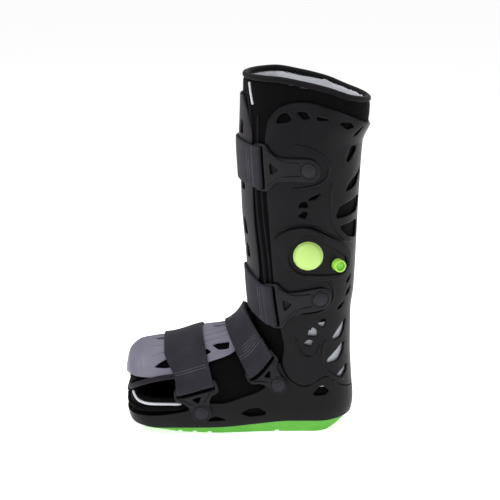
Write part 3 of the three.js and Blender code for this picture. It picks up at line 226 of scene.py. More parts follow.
SHELL_TOP = [(0, 0.917), (0.2, 0.93), (0.36, 0.955), (0.58, 0.984), (0.75, 1), (0.9, 0.997), (1, 0.955)]
SHELL_FRONT = [(0.16, 0), (0.215, 0), (0.27, -0.07), (0.34, 0.05), (0.49, 0.36), (0.57, 0.456), (0.66, 0.56),
               (0.73, 0.65), (0.8, 0.71), (0.87, 0.75), (0.905, 0.92), (0.95, 0.95), (1, 0.8)]
PLATE_SIDE = [(0, 0.12), (0.04, 0.3), (0.14, 0.66), (0.25, 0.92), (0.45, 0.92), (0.7, 0.96), (0.83, 1),
              (0.93, 0.78), (0.98, 0.56), (1, 0.42)]
TOE_PLATE_SIDE = [(0, 0.52), (0.1, 0.66), (0.22, 0.72), (0.5, 0.74), (0.75, 0.68), (0.92, 0.6), (1, 0.42)]
TOP_RIM = [(0, 0.93), (0.2, 0.948), (0.36, 0.968), (0.56, 0.985), (0.8, 0.998), (1, 0.998)]
RIM = [(0, 0.939), (0.35, 0.955), (0.6, 0.987), (1, 1)]

# %% Reading a table on a smooth curve
def clamp(value):
    return min(1, max(0, value))

def from_table(rows, at, column=1):
    last = len(rows) - 1
    def secant(j):
        return (rows[j + 1][column] - rows[j][column]) / (rows[j + 1][0] - rows[j][0])
    def slope(j):
        if j == 0 or j == last:
            return secant(min(j, last - 1))
        a, b = secant(j - 1), secant(j)
        return 0 if a * b <= 0 else 2 * a * b / (a + b)
    i = 0
    while i < last - 1 and rows[i + 1][0] < at:
        i += 1
    p, q = rows[i], rows[i + 1]
    span = q[0] - p[0]
    t = clamp((at - p[0]) / span)
    return (p[column] * (2 * t ** 3 - 3 * t * t + 1) + slope(i) * span * (t ** 3 - 2 * t * t + t)
            + q[column] * (3 * t * t - 2 * t ** 3) + slope(i + 1) * span * (t ** 3 - t * t))

def lerp(a, b, t):
    return a + (b - a) * t

def evenly(low, high, count):
    return [lerp(low, high, i / count) for i in range(count + 1)]

# %% The leg
@cache
def plan_at(z):
    column = lambda k: from_table(LEG_SECTIONS, z / BOOT_HEIGHT, k)
    half = (HEEL_WIDTH + (CALF_WIDTH - HEEL_WIDTH) * column(3)) / 2
    front = LEG_AXIS + CALF_DEPTH * column(1)
    rear = LEG_AXIS + CALF_DEPTH * column(2)
    straight = max(0, rear - front - 2 * half)
    bend = pi / 2 * half
    return half, front, rear, straight, bend, 2 * bend + straight

def leg_plan(z):
    """The leg's plan at a height: half width, front, rear, straight side, bend's length and girth's half."""
    return plan_at(round(z, 3))

def leg_point(around, z, depth):
    half, front, rear, straight, bend, girth = leg_plan(z)
    way = abs(around)
    r = half - depth
    if way < bend:
        x, y = rear - half + r * cos(way / half), r * sin(way / half)
    else:
        turn = max(0, way - bend - straight) / half
        x, y = rear - half - min(way - bend, straight) - r * sin(turn), r * cos(turn)
    return Vector((x, y if around < 0 else -y, z))

def shin_point(around, z, depth):
    p = leg_point(leg_plan(z)[5] - abs(around), z, depth)
    if around < 0:
        p.y = -p.y
    return p

# %% The foot's side and the arch
TOE_START = TOE_ARC - TOE_REACH
TOE_WAY = 0.83 * (TOE_ARC + FOOT_WIDTH / 2)
HEEL_HALF, _, HEEL_REAR, _, HEEL_BEND, _ = leg_plan(LEAN_BELOW)
FOOT_WAY = HEEL_BEND + HEEL_REAR - HEEL_HALF - TOE_START + TOE_WAY

def side_half(x, z):
    t = clamp((WIDEN_FROM - x) / WIDEN_OVER)
    return leg_plan(z)[0] + (FOOT_WIDTH - HEEL_WIDTH) / 2 * t * t * (3 - 2 * t)

def lean(z):
    t = clamp((LEAN_BELOW - z) / LEAN_BELOW)
    return LEAN * t * t

def foot_half(x, z, depth):
    half, _, rear = leg_plan(z)[:3]
    inset = depth + lean(z)
    if x > rear - half:
        return sqrt(max(0, (half - inset) ** 2 - (x - rear + half) ** 2))
    if x > TOE_START:
        return side_half(x, z) - inset
    share = min(1, (TOE_START - x) / (TOE_ARC - inset))
    return (side_half(TOE_START, z) - inset) * (1 - share ** TOE_BLUNT) ** (1 / TOE_BLUNT)

def foot_point(way, z, depth):
    half, _, rear, _, bend, _ = leg_plan(z)
    if abs(way) < bend:
        return leg_point(way, z, depth + lean(z))
    side = 1 if way < 0 else -1
    x = rear - half - abs(way) + bend
    if x > TOE_START:
        return Vector((x, side * foot_half(x, z, depth), z))
    angle = min(1, (TOE_START - x) / TOE_WAY) * pi / 2
    inset = depth + lean(z)
    sharp = 2 / TOE_BLUNT
    return Vector((TOE_START - (TOE_ARC - inset) * sin(angle) ** sharp,
                   side * (side_half(TOE_START, z) - inset) * max(0, cos(angle)) ** sharp, z))

def underside(x):
    return SOLE_HEIGHT * from_table(SHELL_UNDERSIDE, x / TOE_REACH)

SHIN_X = leg_plan(1.3 * INSTEP_HEIGHT)[1]

@cache
def arch_section(at):
    return [from_table(INSTEP_SECTIONS, at, k) for k in range(1, 6)]

def arch_surface(at, across):
    crest_x, crest_z, side_x, side_z, turn = arch_section(round(at, 5))
    crest = (SHIN_X - (TOE_REACH + SHIN_X) * crest_x, INSTEP_HEIGHT * crest_z)
    side = (SHIN_X - (TOE_REACH + SHIN_X) * side_x, INSTEP_HEIGHT * side_z)
    angle = min(1, abs(across) / ARCH) * pi / 2
    below = max(0, abs(across) - ARCH)
    turn = radians(turn)
    x = lerp(side[0], crest[0], cos(angle)) + below * sin(turn)
    z = lerp(side[1], crest[1], cos(angle)) - below * cos(turn)
    half = foot_half(side[0] + below * sin(turn), max(LEAN_BELOW, side[1]), 0) * sin(angle)
    return Vector((x, half if across < 0 else -half, z))

AHEAD, ASIDE = 0.01, 0.4

def arch_point(at, across, depth):
    """The way out of the arch comes from a short step ahead and one aside. Over the foot it points up."""
    p = arch_surface(at, across)
    s = -1 if across < 0 else 1
    low = at - AHEAD if at > 1 - AHEAD else at
    along = arch_surface(low + AHEAD, across) - arch_surface(low, across)
    sideways = arch_surface(at, across + s * ASIDE) - arch_surface(at, across)
    outward = along.cross(sideways) * -s
    outward.normalize()
    if outward.dot(Vector((-0.2, -0.2 * s, 1))) < 0 and abs(across) < ARCH * 0.8:
        outward.negate()
    return p - outward * depth
print("foot way", round(FOOT_WAY, 1))

# %% [markdown]
# ## Drawing flat and wrapping
# A moulded plate is drawn flat as a curve with holes, which gets its wall and its rounded rims from the
# curve's own extrude and bevel. It is then cut along evenly spaced lines, so that it can bend, and every
# point is put on its surface. Corners are first rounded by cutting them off, as a pattern maker would.

# %% Helpers for plates
def rounded(points, times=2, share=0.25, closed=True):
    """Cuts the corners of a ring of flat points, again and again."""
    ring = [tuple(p[:2]) for p in points]
    for _ in range(times):
        corners = []
        count = len(ring)
        for i in range(count if closed else count - 1):
            a, b = ring[i], ring[(i + 1) % count]
            corners.append((lerp(a[0], b[0], share), lerp(a[1], b[1], share)))
            corners.append((lerp(a[0], b[0], 1 - share), lerp(a[1], b[1], 1 - share)))
        ring = corners if closed else [ring[0]] + corners + [ring[-1]]
    return ring

def wrap(piece, place, middle):
    """Puts a flat mesh where place says, in metres, with the middle of its wall at the depth middle."""
    for v in piece.data.vertices:
        v.co = place(v.co.x, v.co.y, middle - v.co.z) * MM

def tidy_normals(piece, angle):
    select_only(piece)
    bpy.ops.object.mode_set(mode="EDIT")
    bpy.ops.mesh.select_all(action="SELECT")
    bpy.ops.mesh.remove_doubles(threshold=1e-6)
    bpy.ops.mesh.normals_make_consistent(inside=False)
    bpy.ops.object.mode_set(mode="OBJECT")
    bpy.ops.object.shade_smooth_by_angle(angle=radians(angle))
    piece.select_set(False)

def finish_piece(piece, material, slot, body="boot", nodes=(), angle=35):
    tidy_normals(piece, angle)
    piece.data.materials.clear()
    piece.data.materials.append(material)
    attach(piece, body)
    if nodes:
        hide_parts(*nodes)
    print(piece.name, len(piece.data.polygons), "faces")
    return piece

def converted(name, curve):
    select_only(add_object(name, curve))
    bpy.ops.object.convert(target="MESH")
    return bpy.context.object

def cut(mesh, at, normal, **settings):
    parts = mesh.verts[:] + mesh.edges[:] + mesh.faces[:]
    bmesh.ops.bisect_plane(mesh, geom=parts, plane_co=at, plane_no=normal, dist=1e-3, **settings)

def flat_plate(name, outline, holes, wall, rim, step, height_step=None):
    """A flat plate with rounded rims and holes, cut along lines so that it can bend."""
    curve = bpy.data.curves.new(name, "CURVE")
    curve.dimensions = "2D"
    curve.fill_mode = "BOTH"
    curve.extrude = wall / 2 - rim
    curve.bevel_depth = rim
    curve.bevel_resolution = 1
    curve.offset = -rim
    for ring in [outline, *holes]:
        spline = curve.splines.new("POLY")
        spline.points.add(len(ring) - 1)
        for point, (x, y) in zip(spline.points, ring):
            point.co = (x, y, 0, 1)
        spline.use_cyclic_u = True
    plate = converted(name, curve)
    mesh = bmesh.new()
    mesh.from_mesh(plate.data)
    bmesh.ops.remove_doubles(mesh, verts=mesh.verts, dist=1e-3)
    for axis, spacing in ((0, step), (1, height_step or step)):
        low = min(v.co[axis] for v in mesh.verts)
        high = max(v.co[axis] for v in mesh.verts)
        normal = Vector((axis == 0, axis == 1, 0))
        for i in range(1, int((high - low) / spacing) + 1):
            cut(mesh, normal * (low + i * spacing), normal)
    mesh.to_mesh(plate.data)
    mesh.free()
    plate.select_set(False)
    return plate

SIDE_NAMES = {1: "outer", -1: "inner"}
TIP, SWELLS_BY = 0.3, 7

def ridge(name, path, place, radius, lift, material, slot, taper=True):
    """A rounded moulded rib along flat points, half sunk in its surface. An open one runs out at its ends."""
    curve = bpy.data.curves.new(name, "CURVE")
    curve.dimensions = "3D"
    curve.bevel_depth = radius * MM
    curve.bevel_resolution = 2
    curve.use_fill_caps = True
    spline = curve.splines.new("POLY")
    last = len(path) - 1
    spline.points.add(last)
    taper = taper and path[0] not in path[1:]
    for i, (point, (x, y)) in enumerate(zip(spline.points, path)):
        point.co = (*(place(x, y, -lift) * MM), 1)
        point.radius = min(1, TIP + SWELLS_BY * (min(i, last - i) / last)) if taper else 1
    finish_piece(converted(name, curve), material, slot, angle=60)

def arc(x, y, radius, start, stop, count):
    return [(x + radius * cos(a), y + radius * sin(a)) for a in evenly(start, stop, count)]

def softly(path):
    return rounded(path, 3, closed=False)

def ridge_pair(name, path, *settings):
    """A ridge on the outer side and its mirror image on the inner side."""
    for way, side in SIDE_NAMES.items():
        ridge(f"{name}_{side}", [(way * x, y) for x, y in path], *settings)

# %% Window shapes, one unit wide and tall, toes to the left
SHAPES = {
    "trapezium": [(-0.5, -0.2), (-0.3, 0.25), (0, 0.5), (0.2, 0.45), (0.5, 0), (0.35, -0.3), (-0.4, -0.5)],
    "slant": [(-0.5, 0.35), (-0.3, 0.5), (0.2, 0.4), (0.5, -0.25), (0.05, -0.5)],
    "wedge": [(-0.5, 0.5), (-0.35, -0.5), (0.5, -0.35)],
    "leaf": [(0.5, 0.5), (-0.35, -0.1), (-0.5, -0.5), (0.1, -0.3)],
    "claw": [(-0.45, -0.5), (-0.5, -0.2), (-0.2, 0.45), (0.4, 0.5), (0.5, 0.25), (0.05, -0.2)],
    "pane": [(-0.5, -0.3), (-0.4, 0.15), (0.5, 0.5), (0.45, -0.1), (0.3, -0.35), (-0.45, -0.5)],
    "delta": [(-0.5, 0.35), (0.45, 0.5), (0.5, 0.05), (0.4, -0.5), (-0.1, -0.3), (-0.45, 0.15)],
    "gable": [(-0.5, -0.5), (-0.3, 0.25), (0, 0.5), (0.35, 0.3), (0.5, -0.5)],
    "barb": [(-0.5, -0.1), (0, 0.5), (0.5, 0.4), (0.3, -0.5)],
    "kite": [(-0.5, -0.3), (-0.45, -0.5), (0.1, -0.4), (0.4, 0), (0.5, 0.5), (0.3, 0.45)],
    "moon": [(-0.5, -0.5), (-0.05, 0.5), (0.4, -0.3), (0.15, -0.5)],
    "diamond": [(-0.5, -0.1), (-0.2, 0.4), (0.2, 0.5), (0.5, -0.1), (0.4, -0.35), (-0.15, -0.5)],
    "bean": [(-0.5, -0.3), (0, 0.5), (0.25, 0.45), (0.5, -0.1), (0.25, -0.45), (-0.35, -0.5)],
}

CORNER = 0.13

def window(shape, x, y, wide, tall, mirror):
    ring = [(x - a * wide * WINDOW, y + b * tall * WINDOW) for a, b in SHAPES[shape]]
    return rounded([(-a, b) if mirror else (a, b) for a, b in ring], 2, CORNER)

# %% [markdown]
# ## Upper shell
# The shell wraps the calf and the heel in one moulding of almost 3 mm. Its windows let air in and save
# weight. It is drawn flat, with the distance round the leg across and the height up, and then wrapped on to
# the leg.

# %% Upper shell
UPPER_WINDOWS = [
    ("trapezium", 0.854, 0.954, 0.9, 0.65), ("slant", 0.716, 0.961, 0.8, 0.5),
    ("wedge", 0.576, 0.953, 0.85, 0.24),
    ("slant", 0.394, 0.93, 1.05, 0.45), ("leaf", 0.262, 0.91, 0.6, 0.6), ("claw", 0.259, 0.845, 0.8, 1),
    ("leaf", 0.19, 0.768, 1.75, 1.3), ("pane", 0.222, 0.69, 2.4, 1.2), ("delta", 0.21, 0.619, 1.9, 1.15),
    ("leaf", 0.542, 0.73, 0.75, 0.46), ("gable", 0.619, 0.708, 0.6, 0.38), ("barb", 0.617, 0.676, 0.58, 0.45),
    ("leaf", 0.19, 0.473, 0.5, 0.55), ("leaf", 0.18, 0.437, 0.55, 0.64), ("leaf", 0.246, 0.396, 0.55, 0.52),
    ("barb", 0.394, 0.349, 0.56, 0.6), ("gable", 0.462, 0.323, 0.64, 0.54), ("barb", 0.491, 0.288, 0.6, 0.4),
    ("kite", 0.234, 0.321, 1.1, 1.2), ("kite", 0.262, 0.251, 1.4, 1.2), ("kite", 0.21, 0.19, 1.1, 0.72),
]
PLAIN_SIDE = 0.5  # smaller windows than this are on the outer side alone
SEAM = 0.7
SHELL_EDGE, PLATE_EDGE = 0.9, 1.0
SOFTENED, SOFT_ABOVE = 6, 0.3

def shell_line(way):
    return LOBE_HEIGHT * from_table(SHELL_LINE, way / LOBE_WAY)

def shell_reach(z):
    return lerp(LOBE_WAY, FRONT_REACH, from_table(SHELL_FRONT, z / SHELL_HEIGHT))

def upper_outline():
    half = [(share * LOBE_WAY, shell_line(share * LOBE_WAY) + SEAM / 2) for share in evenly(0, 1, 40)]
    low, high = half[-1][1], SHELL_HEIGHT * from_table(SHELL_TOP, 1)
    half += [(shell_reach(z), z) for z in evenly(low, high, 70)[1:-1]]
    for share in reversed(evenly(0, 1, 30)):
        z = SHELL_HEIGHT * from_table(SHELL_TOP, share)
        half.append((share * shell_reach(z), z))
    for _ in range(SOFTENED):
        soft = [((a[0] + 2 * b[0] + c[0]) / 4, (a[1] + 2 * b[1] + c[1]) / 4)
                for a, b, c in zip(half, half[1:], half[2:])]
        half[1:-1] = [new if old[1] > SOFT_ABOVE * SHELL_HEIGHT else old
                      for old, new in zip(half[1:-1], soft)]
    return half + [(-x, z) for x, z in reversed(half[1:-1])]

holes = []
for shape, way, up, wide, tall in UPPER_WINDOWS:
    for mirror in ([False] if wide * tall < PLAIN_SIDE else [False, True]):
        holes.append(window(shape, way * FRONT_REACH, up * SHELL_HEIGHT, wide, tall, mirror))
upper = flat_plate("upper_shell_moulding", upper_outline(), holes, SHELL_WALL, SHELL_EDGE, step=5, height_step=8)
wrap(upper, leg_point, SHELL_WALL / 2)
finish_piece(upper, SHELL, "shell", nodes=["upper_shell"])

# %% Its moulded ridges: round both shin brackets' ends, above the pump, and round the rear windows
SHELL_RIDGES = {
    "top_bracket": [(126, 368), (99, 364), (80, 352), (73, 339), (78, 325), (92, 317), (121, 314)],
    "low_bracket": [(82, 209), (67, 203), (57, 192), (54, 178), (59, 167), (70, 159), (93, 157)],
    "ankle_ring": [(96, 127), (93, 114), (87, 104), (77, 101), (69, 106), (66, 119)],
    "upper_rear": [(70, 322), (70, 300), (67, 279), (61, 264), (48, 252), (30, 243)],
    "lower_rear": [(60, 124), (62, 112), (63, 98), (59, 84), (48, 75), (32, 68)],
}
PUMP_RIDGE = [(136, 250), (131, 257), (125, 263), (117, 267), (107, 269), (90, 269.5), (81, 266), (72, 260),
              (56, 252), (40, 245)]
for label, path in SHELL_RIDGES.items():
    ridge_pair(f"shell_ridge_{label}", softly(path), leg_point, 2.4, -0.9, SHELL, "shell")
ridge("shell_ridge_pump", softly(PUMP_RIDGE), leg_point, 2.0, -0.6, SHELL, "shell")

# %% [markdown]
# ## Lower shell
# The cup of the foot runs all round, so its flat strip is cut off exactly at the middle of the toe, where
# its two ends meet and are merged. A floor closes it below.

# %% Lower shell
def foot_x(way):
    return foot_point(way, LEAN_BELOW / 2, 0).x

def open_edge(way):
    return LOBE_HEIGHT * from_table(OPEN_EDGE, (way - LOBE_WAY) / (FOOT_WAY - LOBE_WAY))

LOWER_WINDOWS = [("moon", -0.265, 0.31, 1.5, 0.34), ("diamond", 0.03, 0.4, 1.6, 0.6),
                 ("bean", 0.565, 0.76, 1.05, 0.62)]
SPARE = 6  # what the strip is longer than the foot's side, until it is cut off

def lower_outline():
    reach = FOOT_WAY + SPARE
    bottom = [(way, underside(foot_x(min(way, FOOT_WAY)))) for way in evenly(0, reach, 60)]
    top = [(way, shell_line(way) - SEAM / 2) for way in evenly(0, LOBE_WAY - SEAM / 2, 40)]
    top += [(way, open_edge(way)) for way in evenly(LOBE_WAY + SEAM / 2, FOOT_WAY, 90)]
    top.append((reach, open_edge(FOOT_WAY)))
    return bottom + top[::-1] + [(-x, z) for x, z in top[1:] + bottom[:0:-1]]

holes = []
for shape, x, up, wide, tall in LOWER_WINDOWS:
    half, _, rear, _, bend, _ = leg_plan(up * LOBE_HEIGHT)
    for mirror in (False, True):
        holes.append(window(shape, rear - half + bend - x * TOE_REACH, up * LOBE_HEIGHT, wide, tall, mirror))
lower = flat_plate("lower_shell_moulding", lower_outline(), holes, SHELL_WALL, SHELL_EDGE, step=5, height_step=6)
mesh = bmesh.new()
mesh.from_mesh(lower.data)
for side in (-1, 1):
    cut(mesh, (side * FOOT_WAY, 0, 0), (side, 0, 0), clear_outer=True)
mesh.to_mesh(lower.data)
mesh.free()
wrap(lower, foot_point, SHELL_WALL / 2)

# %% Helpers for meshes made of rings
def from_bmesh(name, mesh):
    data = bpy.data.meshes.new(name)
    mesh.to_mesh(data)
    mesh.free()
    return add_object(name, data)

def skin(mesh, rings, capped=False):
    """Joins each ring of points to the next with four-sided faces."""
    for p, q in zip(rings, rings[1:]):
        for i in range(len(p)):
            n = (i + 1) % len(p)
            mesh.faces.new((p[i], p[n], q[n], q[i]))
    if capped:
        mesh.faces.new(rings[0])
        mesh.faces.new(rings[-1])

# %% The lower shell's floor
ACROSS = (-1, -0.97, -0.5, 0, 0.5, 0.97, 1)
LEAST_HALF, FLOOR_GAP, FLOOR_INSET = 1.5, 0.6, 8

def slab(name, inset, bottom, top, low, high, count=90):
    """A level slab of the foot's plan between two heights that follow x."""
    mesh = bmesh.new()
    rings = []
    for i in range(count + 1):
        x = lerp(low, high, 0.5 - 0.5 * cos(pi * i / count))
        z0, z1 = bottom(x), top(x)
        a, b = (max(LEAST_HALF, foot_half(x, z, inset)) for z in (z0, z1))
        rings.append([mesh.verts.new((x * MM, k * a * MM, z0 * MM)) for k in ACROSS]
                     + [mesh.verts.new((x * MM, k * b * MM, z1 * MM)) for k in reversed(ACROSS)])
    skin(mesh, rings, capped=True)
    return from_bmesh(name, mesh)

def join(pieces):
    bpy.ops.object.select_all(action="DESELECT")
    for piece in pieces:
        piece.select_set(True)
    bpy.context.view_layer.objects.active = pieces[0]
    bpy.ops.object.join()
    return pieces[0]

shell_floor = slab("lower_shell_floor", SHELL_WALL / 2, lambda x: underside(x) + FLOOR_GAP,
                   lambda x: underside(x) + SHELL_FLOOR, FLOOR_INSET - TOE_REACH, HEEL_REAR - FLOOR_INSET)
finish_piece(join([lower, shell_floor]), LOWER, "shell", nodes=["lower_shell"])

# %% [markdown]
# ## Shin plate and toe plate
# Both are lighter grey mouldings that slide under the straps. They are drawn and wrapped in the same way,
# the shin plate on the front of the leg and the toe plate on the arch.

# %% Shin plate
def plate_z(v):
    return lerp(PLATE_BOTTOM, PLATE_TOP, v)

half = [(PLATE_HALF * from_table(PLATE_SIDE, v), plate_z(v)) for v in evenly(0, 1, 60)]
outline = half + [(-x, z) for x, z in reversed(half)]
SHIN_WINDOWS = [(0.42, 0.87, 0.6, 0.9), (0.42, 0.63, 0.6, 0.9), (0.42, 0.44, 0.6, 1.1),
                (0.42, 0.33, 0.6, 0.9)]
holes = [window("gable", side * PLATE_HALF, plate_z(up), wide, tall, mirror)
         for side, up, wide, tall in SHIN_WINDOWS for mirror in (False, True)]
shin = flat_plate("shin_plate_moulding", outline, holes, SHELL_WALL, PLATE_EDGE, step=4, height_step=8)
wrap(shin, shin_point, SHELL_WALL / 2)
finish_piece(shin, SHIN, "plate", nodes=["shin_plate"])

# %% Toe plate
def toe_place(x, y, depth):
    return arch_point(clamp(y / TOE_REACH) * TOE_PLATE_SHARE, x, depth)

half = [(ARCH * from_table(TOE_PLATE_SIDE, v), v * TOE_REACH) for v in evenly(0, 1, 60)]
outline = half + [(-x, y) for x, y in reversed(half)]
TOE_WINDOWS = [
    [(57, 0.36), (53, 0.385), (47.5, 0.445), (47, 0.49), (59, 0.49), (59, 0.44)],
    [(43.5, 0.8), (41.5, 0.83), (42.5, 0.91), (52, 0.89), (51.5, 0.83)],
    [(46.5, 0.7), (47, 0.76), (52, 0.785), (55, 0.755), (55, 0.7)],
    [(5, 0.37), (10, 0.385), (10, 0.48), (5, 0.48)],
    [(4, 0.82), (8.5, 0.84), (8.5, 0.93), (4, 0.93)],
]
holes = [rounded([(way * x, y * TOE_REACH) for x, y in ring], 2, CORNER)
         for ring in TOE_WINDOWS for way in SIDE_NAMES]
toe = flat_plate("toe_plate_moulding", outline, holes, SHELL_WALL, PLATE_EDGE, step=4)
wrap(toe, toe_place, SHELL_WALL / 2)
finish_piece(toe, TOE, "plate", nodes=["toe_plate"])

# %% Ribs along the toe plate and the seam across its front
TOE_RIBS = [[(23.5, 0.32), (23.5, 0.49)], [(41, 0.33), (34, 0.49)], [(17, 0.74), (8, 0.95)],
            [(27, 0.74), (20, 0.95)], [(36, 0.74), (30, 0.95)], [(60, 0.72), (56, 0.92)]]
for number, ((x0, y0), (x1, y1)) in enumerate(TOE_RIBS):
    line = [(lerp(x0, x1, t), lerp(y0, y1, t) * TOE_REACH) for t in evenly(0, 1, 8)]
    ridge_pair(f"toe_rib_{number}", line, toe_place, 1.3, -0.4, TOE, "plate")
SEAM_LINE = [(66, 0.27), (55, 0.255), (41, 0.252), (21, 0.24), (-21, 0.24), (-41, 0.252), (-55, 0.255),
             (-66, 0.27)]
line = softly([(x, y * TOE_REACH) for x, y in SEAM_LINE])
ridge("toe_seam", line, toe_place, 0.8, -0.3, TOE, "plate")

# %% [markdown]
# ## Side brackets
# Eight slotted brackets carry the straps. Each is a rounded triangle with a slot for its strap, an eye for
# its rivet and, on the outer side, a window between its two arms. Ribs stand on the arms, as moulders add
# to stiffen a plate.

# %% Brackets' sizes and places
STRAP_WALL, STRAP_GAP, BRACKET_GAP, BAR_GAP, LOOP_WALL = 3, 0.6, 0.6, 0.5, 1.5
SHIN_STRAP, FOOT_STRAP = 50, 44
BRACKET_WALL, BRACKET_BAR, BRACKET_SLOT, BRACKET_RIM = 3.2, 7, 6, 3.5
SHIN_BRACKET, FOOT_BRACKET, SHIN_EYE, FOOT_EYE = 55, 28, 14, 12
BESIDE_PLATE = 6
SHIN_SLOT = PLATE_HALF + BESIDE_PLATE + BRACKET_BAR + BRACKET_SLOT / 2
SHIN_ROWS = [("shin_top", 0.812, 0.01, -0.005), ("shin_low", 0.402, 0.036, 0.024)]
FOOT_ROWS = [("ankle", 0.74, 0.91), ("forefoot", 0.4, 0.6)]

def shin_bracket_place(row, side):
    def place(m, p, depth):
        lift = row[3] * SHELL_HEIGHT * max(0, m) / SHIN_BRACKET
        return shin_point(side * (SHIN_SLOT + m), row[1] * SHELL_HEIGHT + lift + p, depth)
    return place

def foot_bracket_place(row, side):
    def place(m, p, depth):
        return arch_point(lerp(row[1], row[2], p / FOOT_STRAP + 0.5), side * (ARCH + m), depth)
    return place

FASTENINGS = [(row[0], side, SHIN_BRACKET, SHIN_STRAP, shin_bracket_place(row, side))
              for row in SHIN_ROWS for side in (1, -1)]
FASTENINGS += [(row[0], side, FOOT_BRACKET, FOOT_STRAP, foot_bracket_place(row, side))
               for row in FOOT_ROWS for side in (1, -1)]

# %% Helper for brackets
def bracket(name, side, reach, width, place):
    """Its window, on the outer side, has a base, a length and half a height."""
    s = BRACKET_SLOT / 2
    bar, high = -s - BRACKET_BAR, width / 2 + BRACKET_RIM
    if reach == SHIN_BRACKET:
        eye, turn = SHIN_EYE, 1.7
        neck = [(s + 5, high - 3), (s + 11, eye + 4), (s + 17, eye)]
        base, length, tall = s + BRACKET_RIM + 4, 9, 7.5
    else:
        eye, turn = FOOT_EYE, 2.0
        neck = [(s + 5, high - 2), (lerp(s, reach - eye, 0.62), lerp(eye, high, 0.22))]
        base, length, tall = s + BRACKET_RIM + 0.5, 6.5, 6
    upper = [(bar, high - 3), (bar + 3, high), (s + 2, high)] + neck
    end = arc(reach, 0, eye, turn, -turn, 14)
    outline = rounded(upper + end + [(m, -p) for m, p in reversed(upper)])
    slot_half = width / 2 + 0.6
    slot = [(-s, -slot_half), (s, -slot_half), (s, slot_half), (-s, slot_half)]
    holes = [rounded(slot, 2, 0.12)]
    if side > 0:
        tip = base + length
        holes.append(rounded([(base, -tall), (tip, -1), (tip, 1), (base, tall)], 2, 0.15))
    plate = flat_plate(name, outline, holes, BRACKET_WALL, SHELL_EDGE, step=3)
    wrap(plate, place, -BRACKET_GAP - BRACKET_WALL / 2)
    return plate

# %% Brackets, with ribs on the outer ones
FACE = BRACKET_GAP + BRACKET_WALL - 0.2
ARM = BRACKET_SLOT / 2 + 2.5
for name, side, reach, width, place in FASTENINGS:
    node = f"bracket_{name}_{SIDE_NAMES[side]}"
    finish_piece(bracket(f"{node}_moulding", side, reach, width, place), BRACKET, "shell", nodes=[node])
    if side > 0:
        if reach == SHIN_BRACKET:
            arm = [(ARM, width * 0.46), (16, 15), (24, 9.5), (36, 8), (reach - 10, 8)]
        else:
            arm = [(ARM, width * 0.46), (reach * 0.3, width * 0.33), (reach * 0.55, width * 0.2),
                   (reach - 13, 6)]
        for way, label in ((1, "upper"), (-1, "lower")):
            path = rounded([(m, way * p) for m, p in arm], 2, closed=False)
            ridge(f"{node}_rib_{label}", path, place, 1.5, FACE + 0.1, BRACKET, "shell")
        ring = arc(reach, 0, 10.4, 0, 2 * pi, 36)[:-1]
        ridge(f"{node}_eye_rim", ring + ring[:2], place, 1.0, FACE, BRACKET, "shell")

# %% [markdown]
# ## Turned pieces
# Rivets, bulb, valve and button are all round. Each is a profile, a list of radius and height, spun round
# its axis.

# %% Helper for turned pieces
def outward(place, u, v):
    side = place(u, v, -1) - place(u, v, 0)
    along, up = place(u + 1, v, 0) - place(u - 1, v, 0), place(u, v + 1, 0) - place(u, v - 1, 0)
    normal = along.cross(up).normalized()
    return normal if normal.dot(side) > 0 else -normal

def turned(name, profile, foot, axis, sides=48, closed=False):
    """Spins a profile of (radius, height) round an axis that stands on foot."""
    mesh = bmesh.new()
    verts = [mesh.verts.new((r * MM, 0, h * MM)) for r, h in profile]
    ring = verts + [verts[0]] if closed else verts
    edges = [mesh.edges.new((a, b)) for a, b in zip(ring, ring[1:])]
    bmesh.ops.spin(mesh, geom=verts + edges, cent=(0, 0, 0), axis=(0, 0, 1), angle=2 * pi, steps=sides)
    bmesh.ops.remove_doubles(mesh, verts=mesh.verts, dist=1e-6)
    turn = Vector((0, 0, 1)).rotation_difference(axis).to_matrix().to_4x4()
    mesh.transform(Matrix.Translation(foot * MM) @ turn)
    return from_bmesh(name, mesh)

# %% Rivets
SEAT = BRACKET_GAP + BRACKET_WALL
RIVET_PROFILE = [(0, -SHELL_WALL), (4, -SHELL_WALL), (4, SEAT), (8.1, SEAT + 0.1), (8.5, SEAT + 0.5),
                 (8.4, SEAT + 1.0), (8.0, SEAT + 1.4), (7.4, SEAT + 1.4), (7.0, SEAT + 1.1),
                 (6.6, SEAT + 1.1), (6.2, SEAT + 1.4), (3.0, SEAT + 1.6), (0, SEAT + 1.6)]
for name, side, reach, width, place in FASTENINGS:
    node = f"rivet_{name}_{SIDE_NAMES[side]}"
    piece = turned(f"{node}_head", RIVET_PROFILE, place(reach, 0, 0), outward(place, reach, 0))
    finish_piece(piece, RIVET, "shell", nodes=[node], angle=50)

# %% [markdown]
# ## Straps
# A strap is one band of webbing that goes through the slot of a bracket, round its bar and back on itself.
# So it is a closed ribbon: its outer run, the turn round one bar, its inner run, and the turn round the
# other bar. Rows of stitches hold the doubled ends.

# %% Helper for the ribbon
EDGE, MARGIN, LAP = 0.45, 2, 4

def ribbon(name, path, width, wall, place, across):
    """A closed ribbon along a path of (distance, depth), wide along the third direction of place."""
    mesh = bmesh.new()
    half = width / 2
    rows = [(1, -half + EDGE)] + [(1, t) for t in evenly(-half + MARGIN, half - MARGIN, across)]
    rows += [(1, half - EDGE), (EDGE, half), (-EDGE, half), (-1, half - EDGE)]
    rows += [(-1, t) for t in evenly(half - MARGIN, -half + MARGIN, across)]
    rows += [(-1, -half + EDGE), (-EDGE, -half), (EDGE, -half)]
    rings = []
    for i, (a, d) in enumerate(path):
        before, after = path[i - 1], path[(i + 1) % len(path)]
        way = Vector((after[0] - before[0], after[1] - before[1])).normalized()
        off = Vector((-way.y, way.x)) * wall / 2
        rings.append([mesh.verts.new(place(a + k * off.x, d + k * off.y, t) * MM) for k, t in rows])
    skin(mesh, rings + rings[:1])
    return from_bmesh(name, mesh)

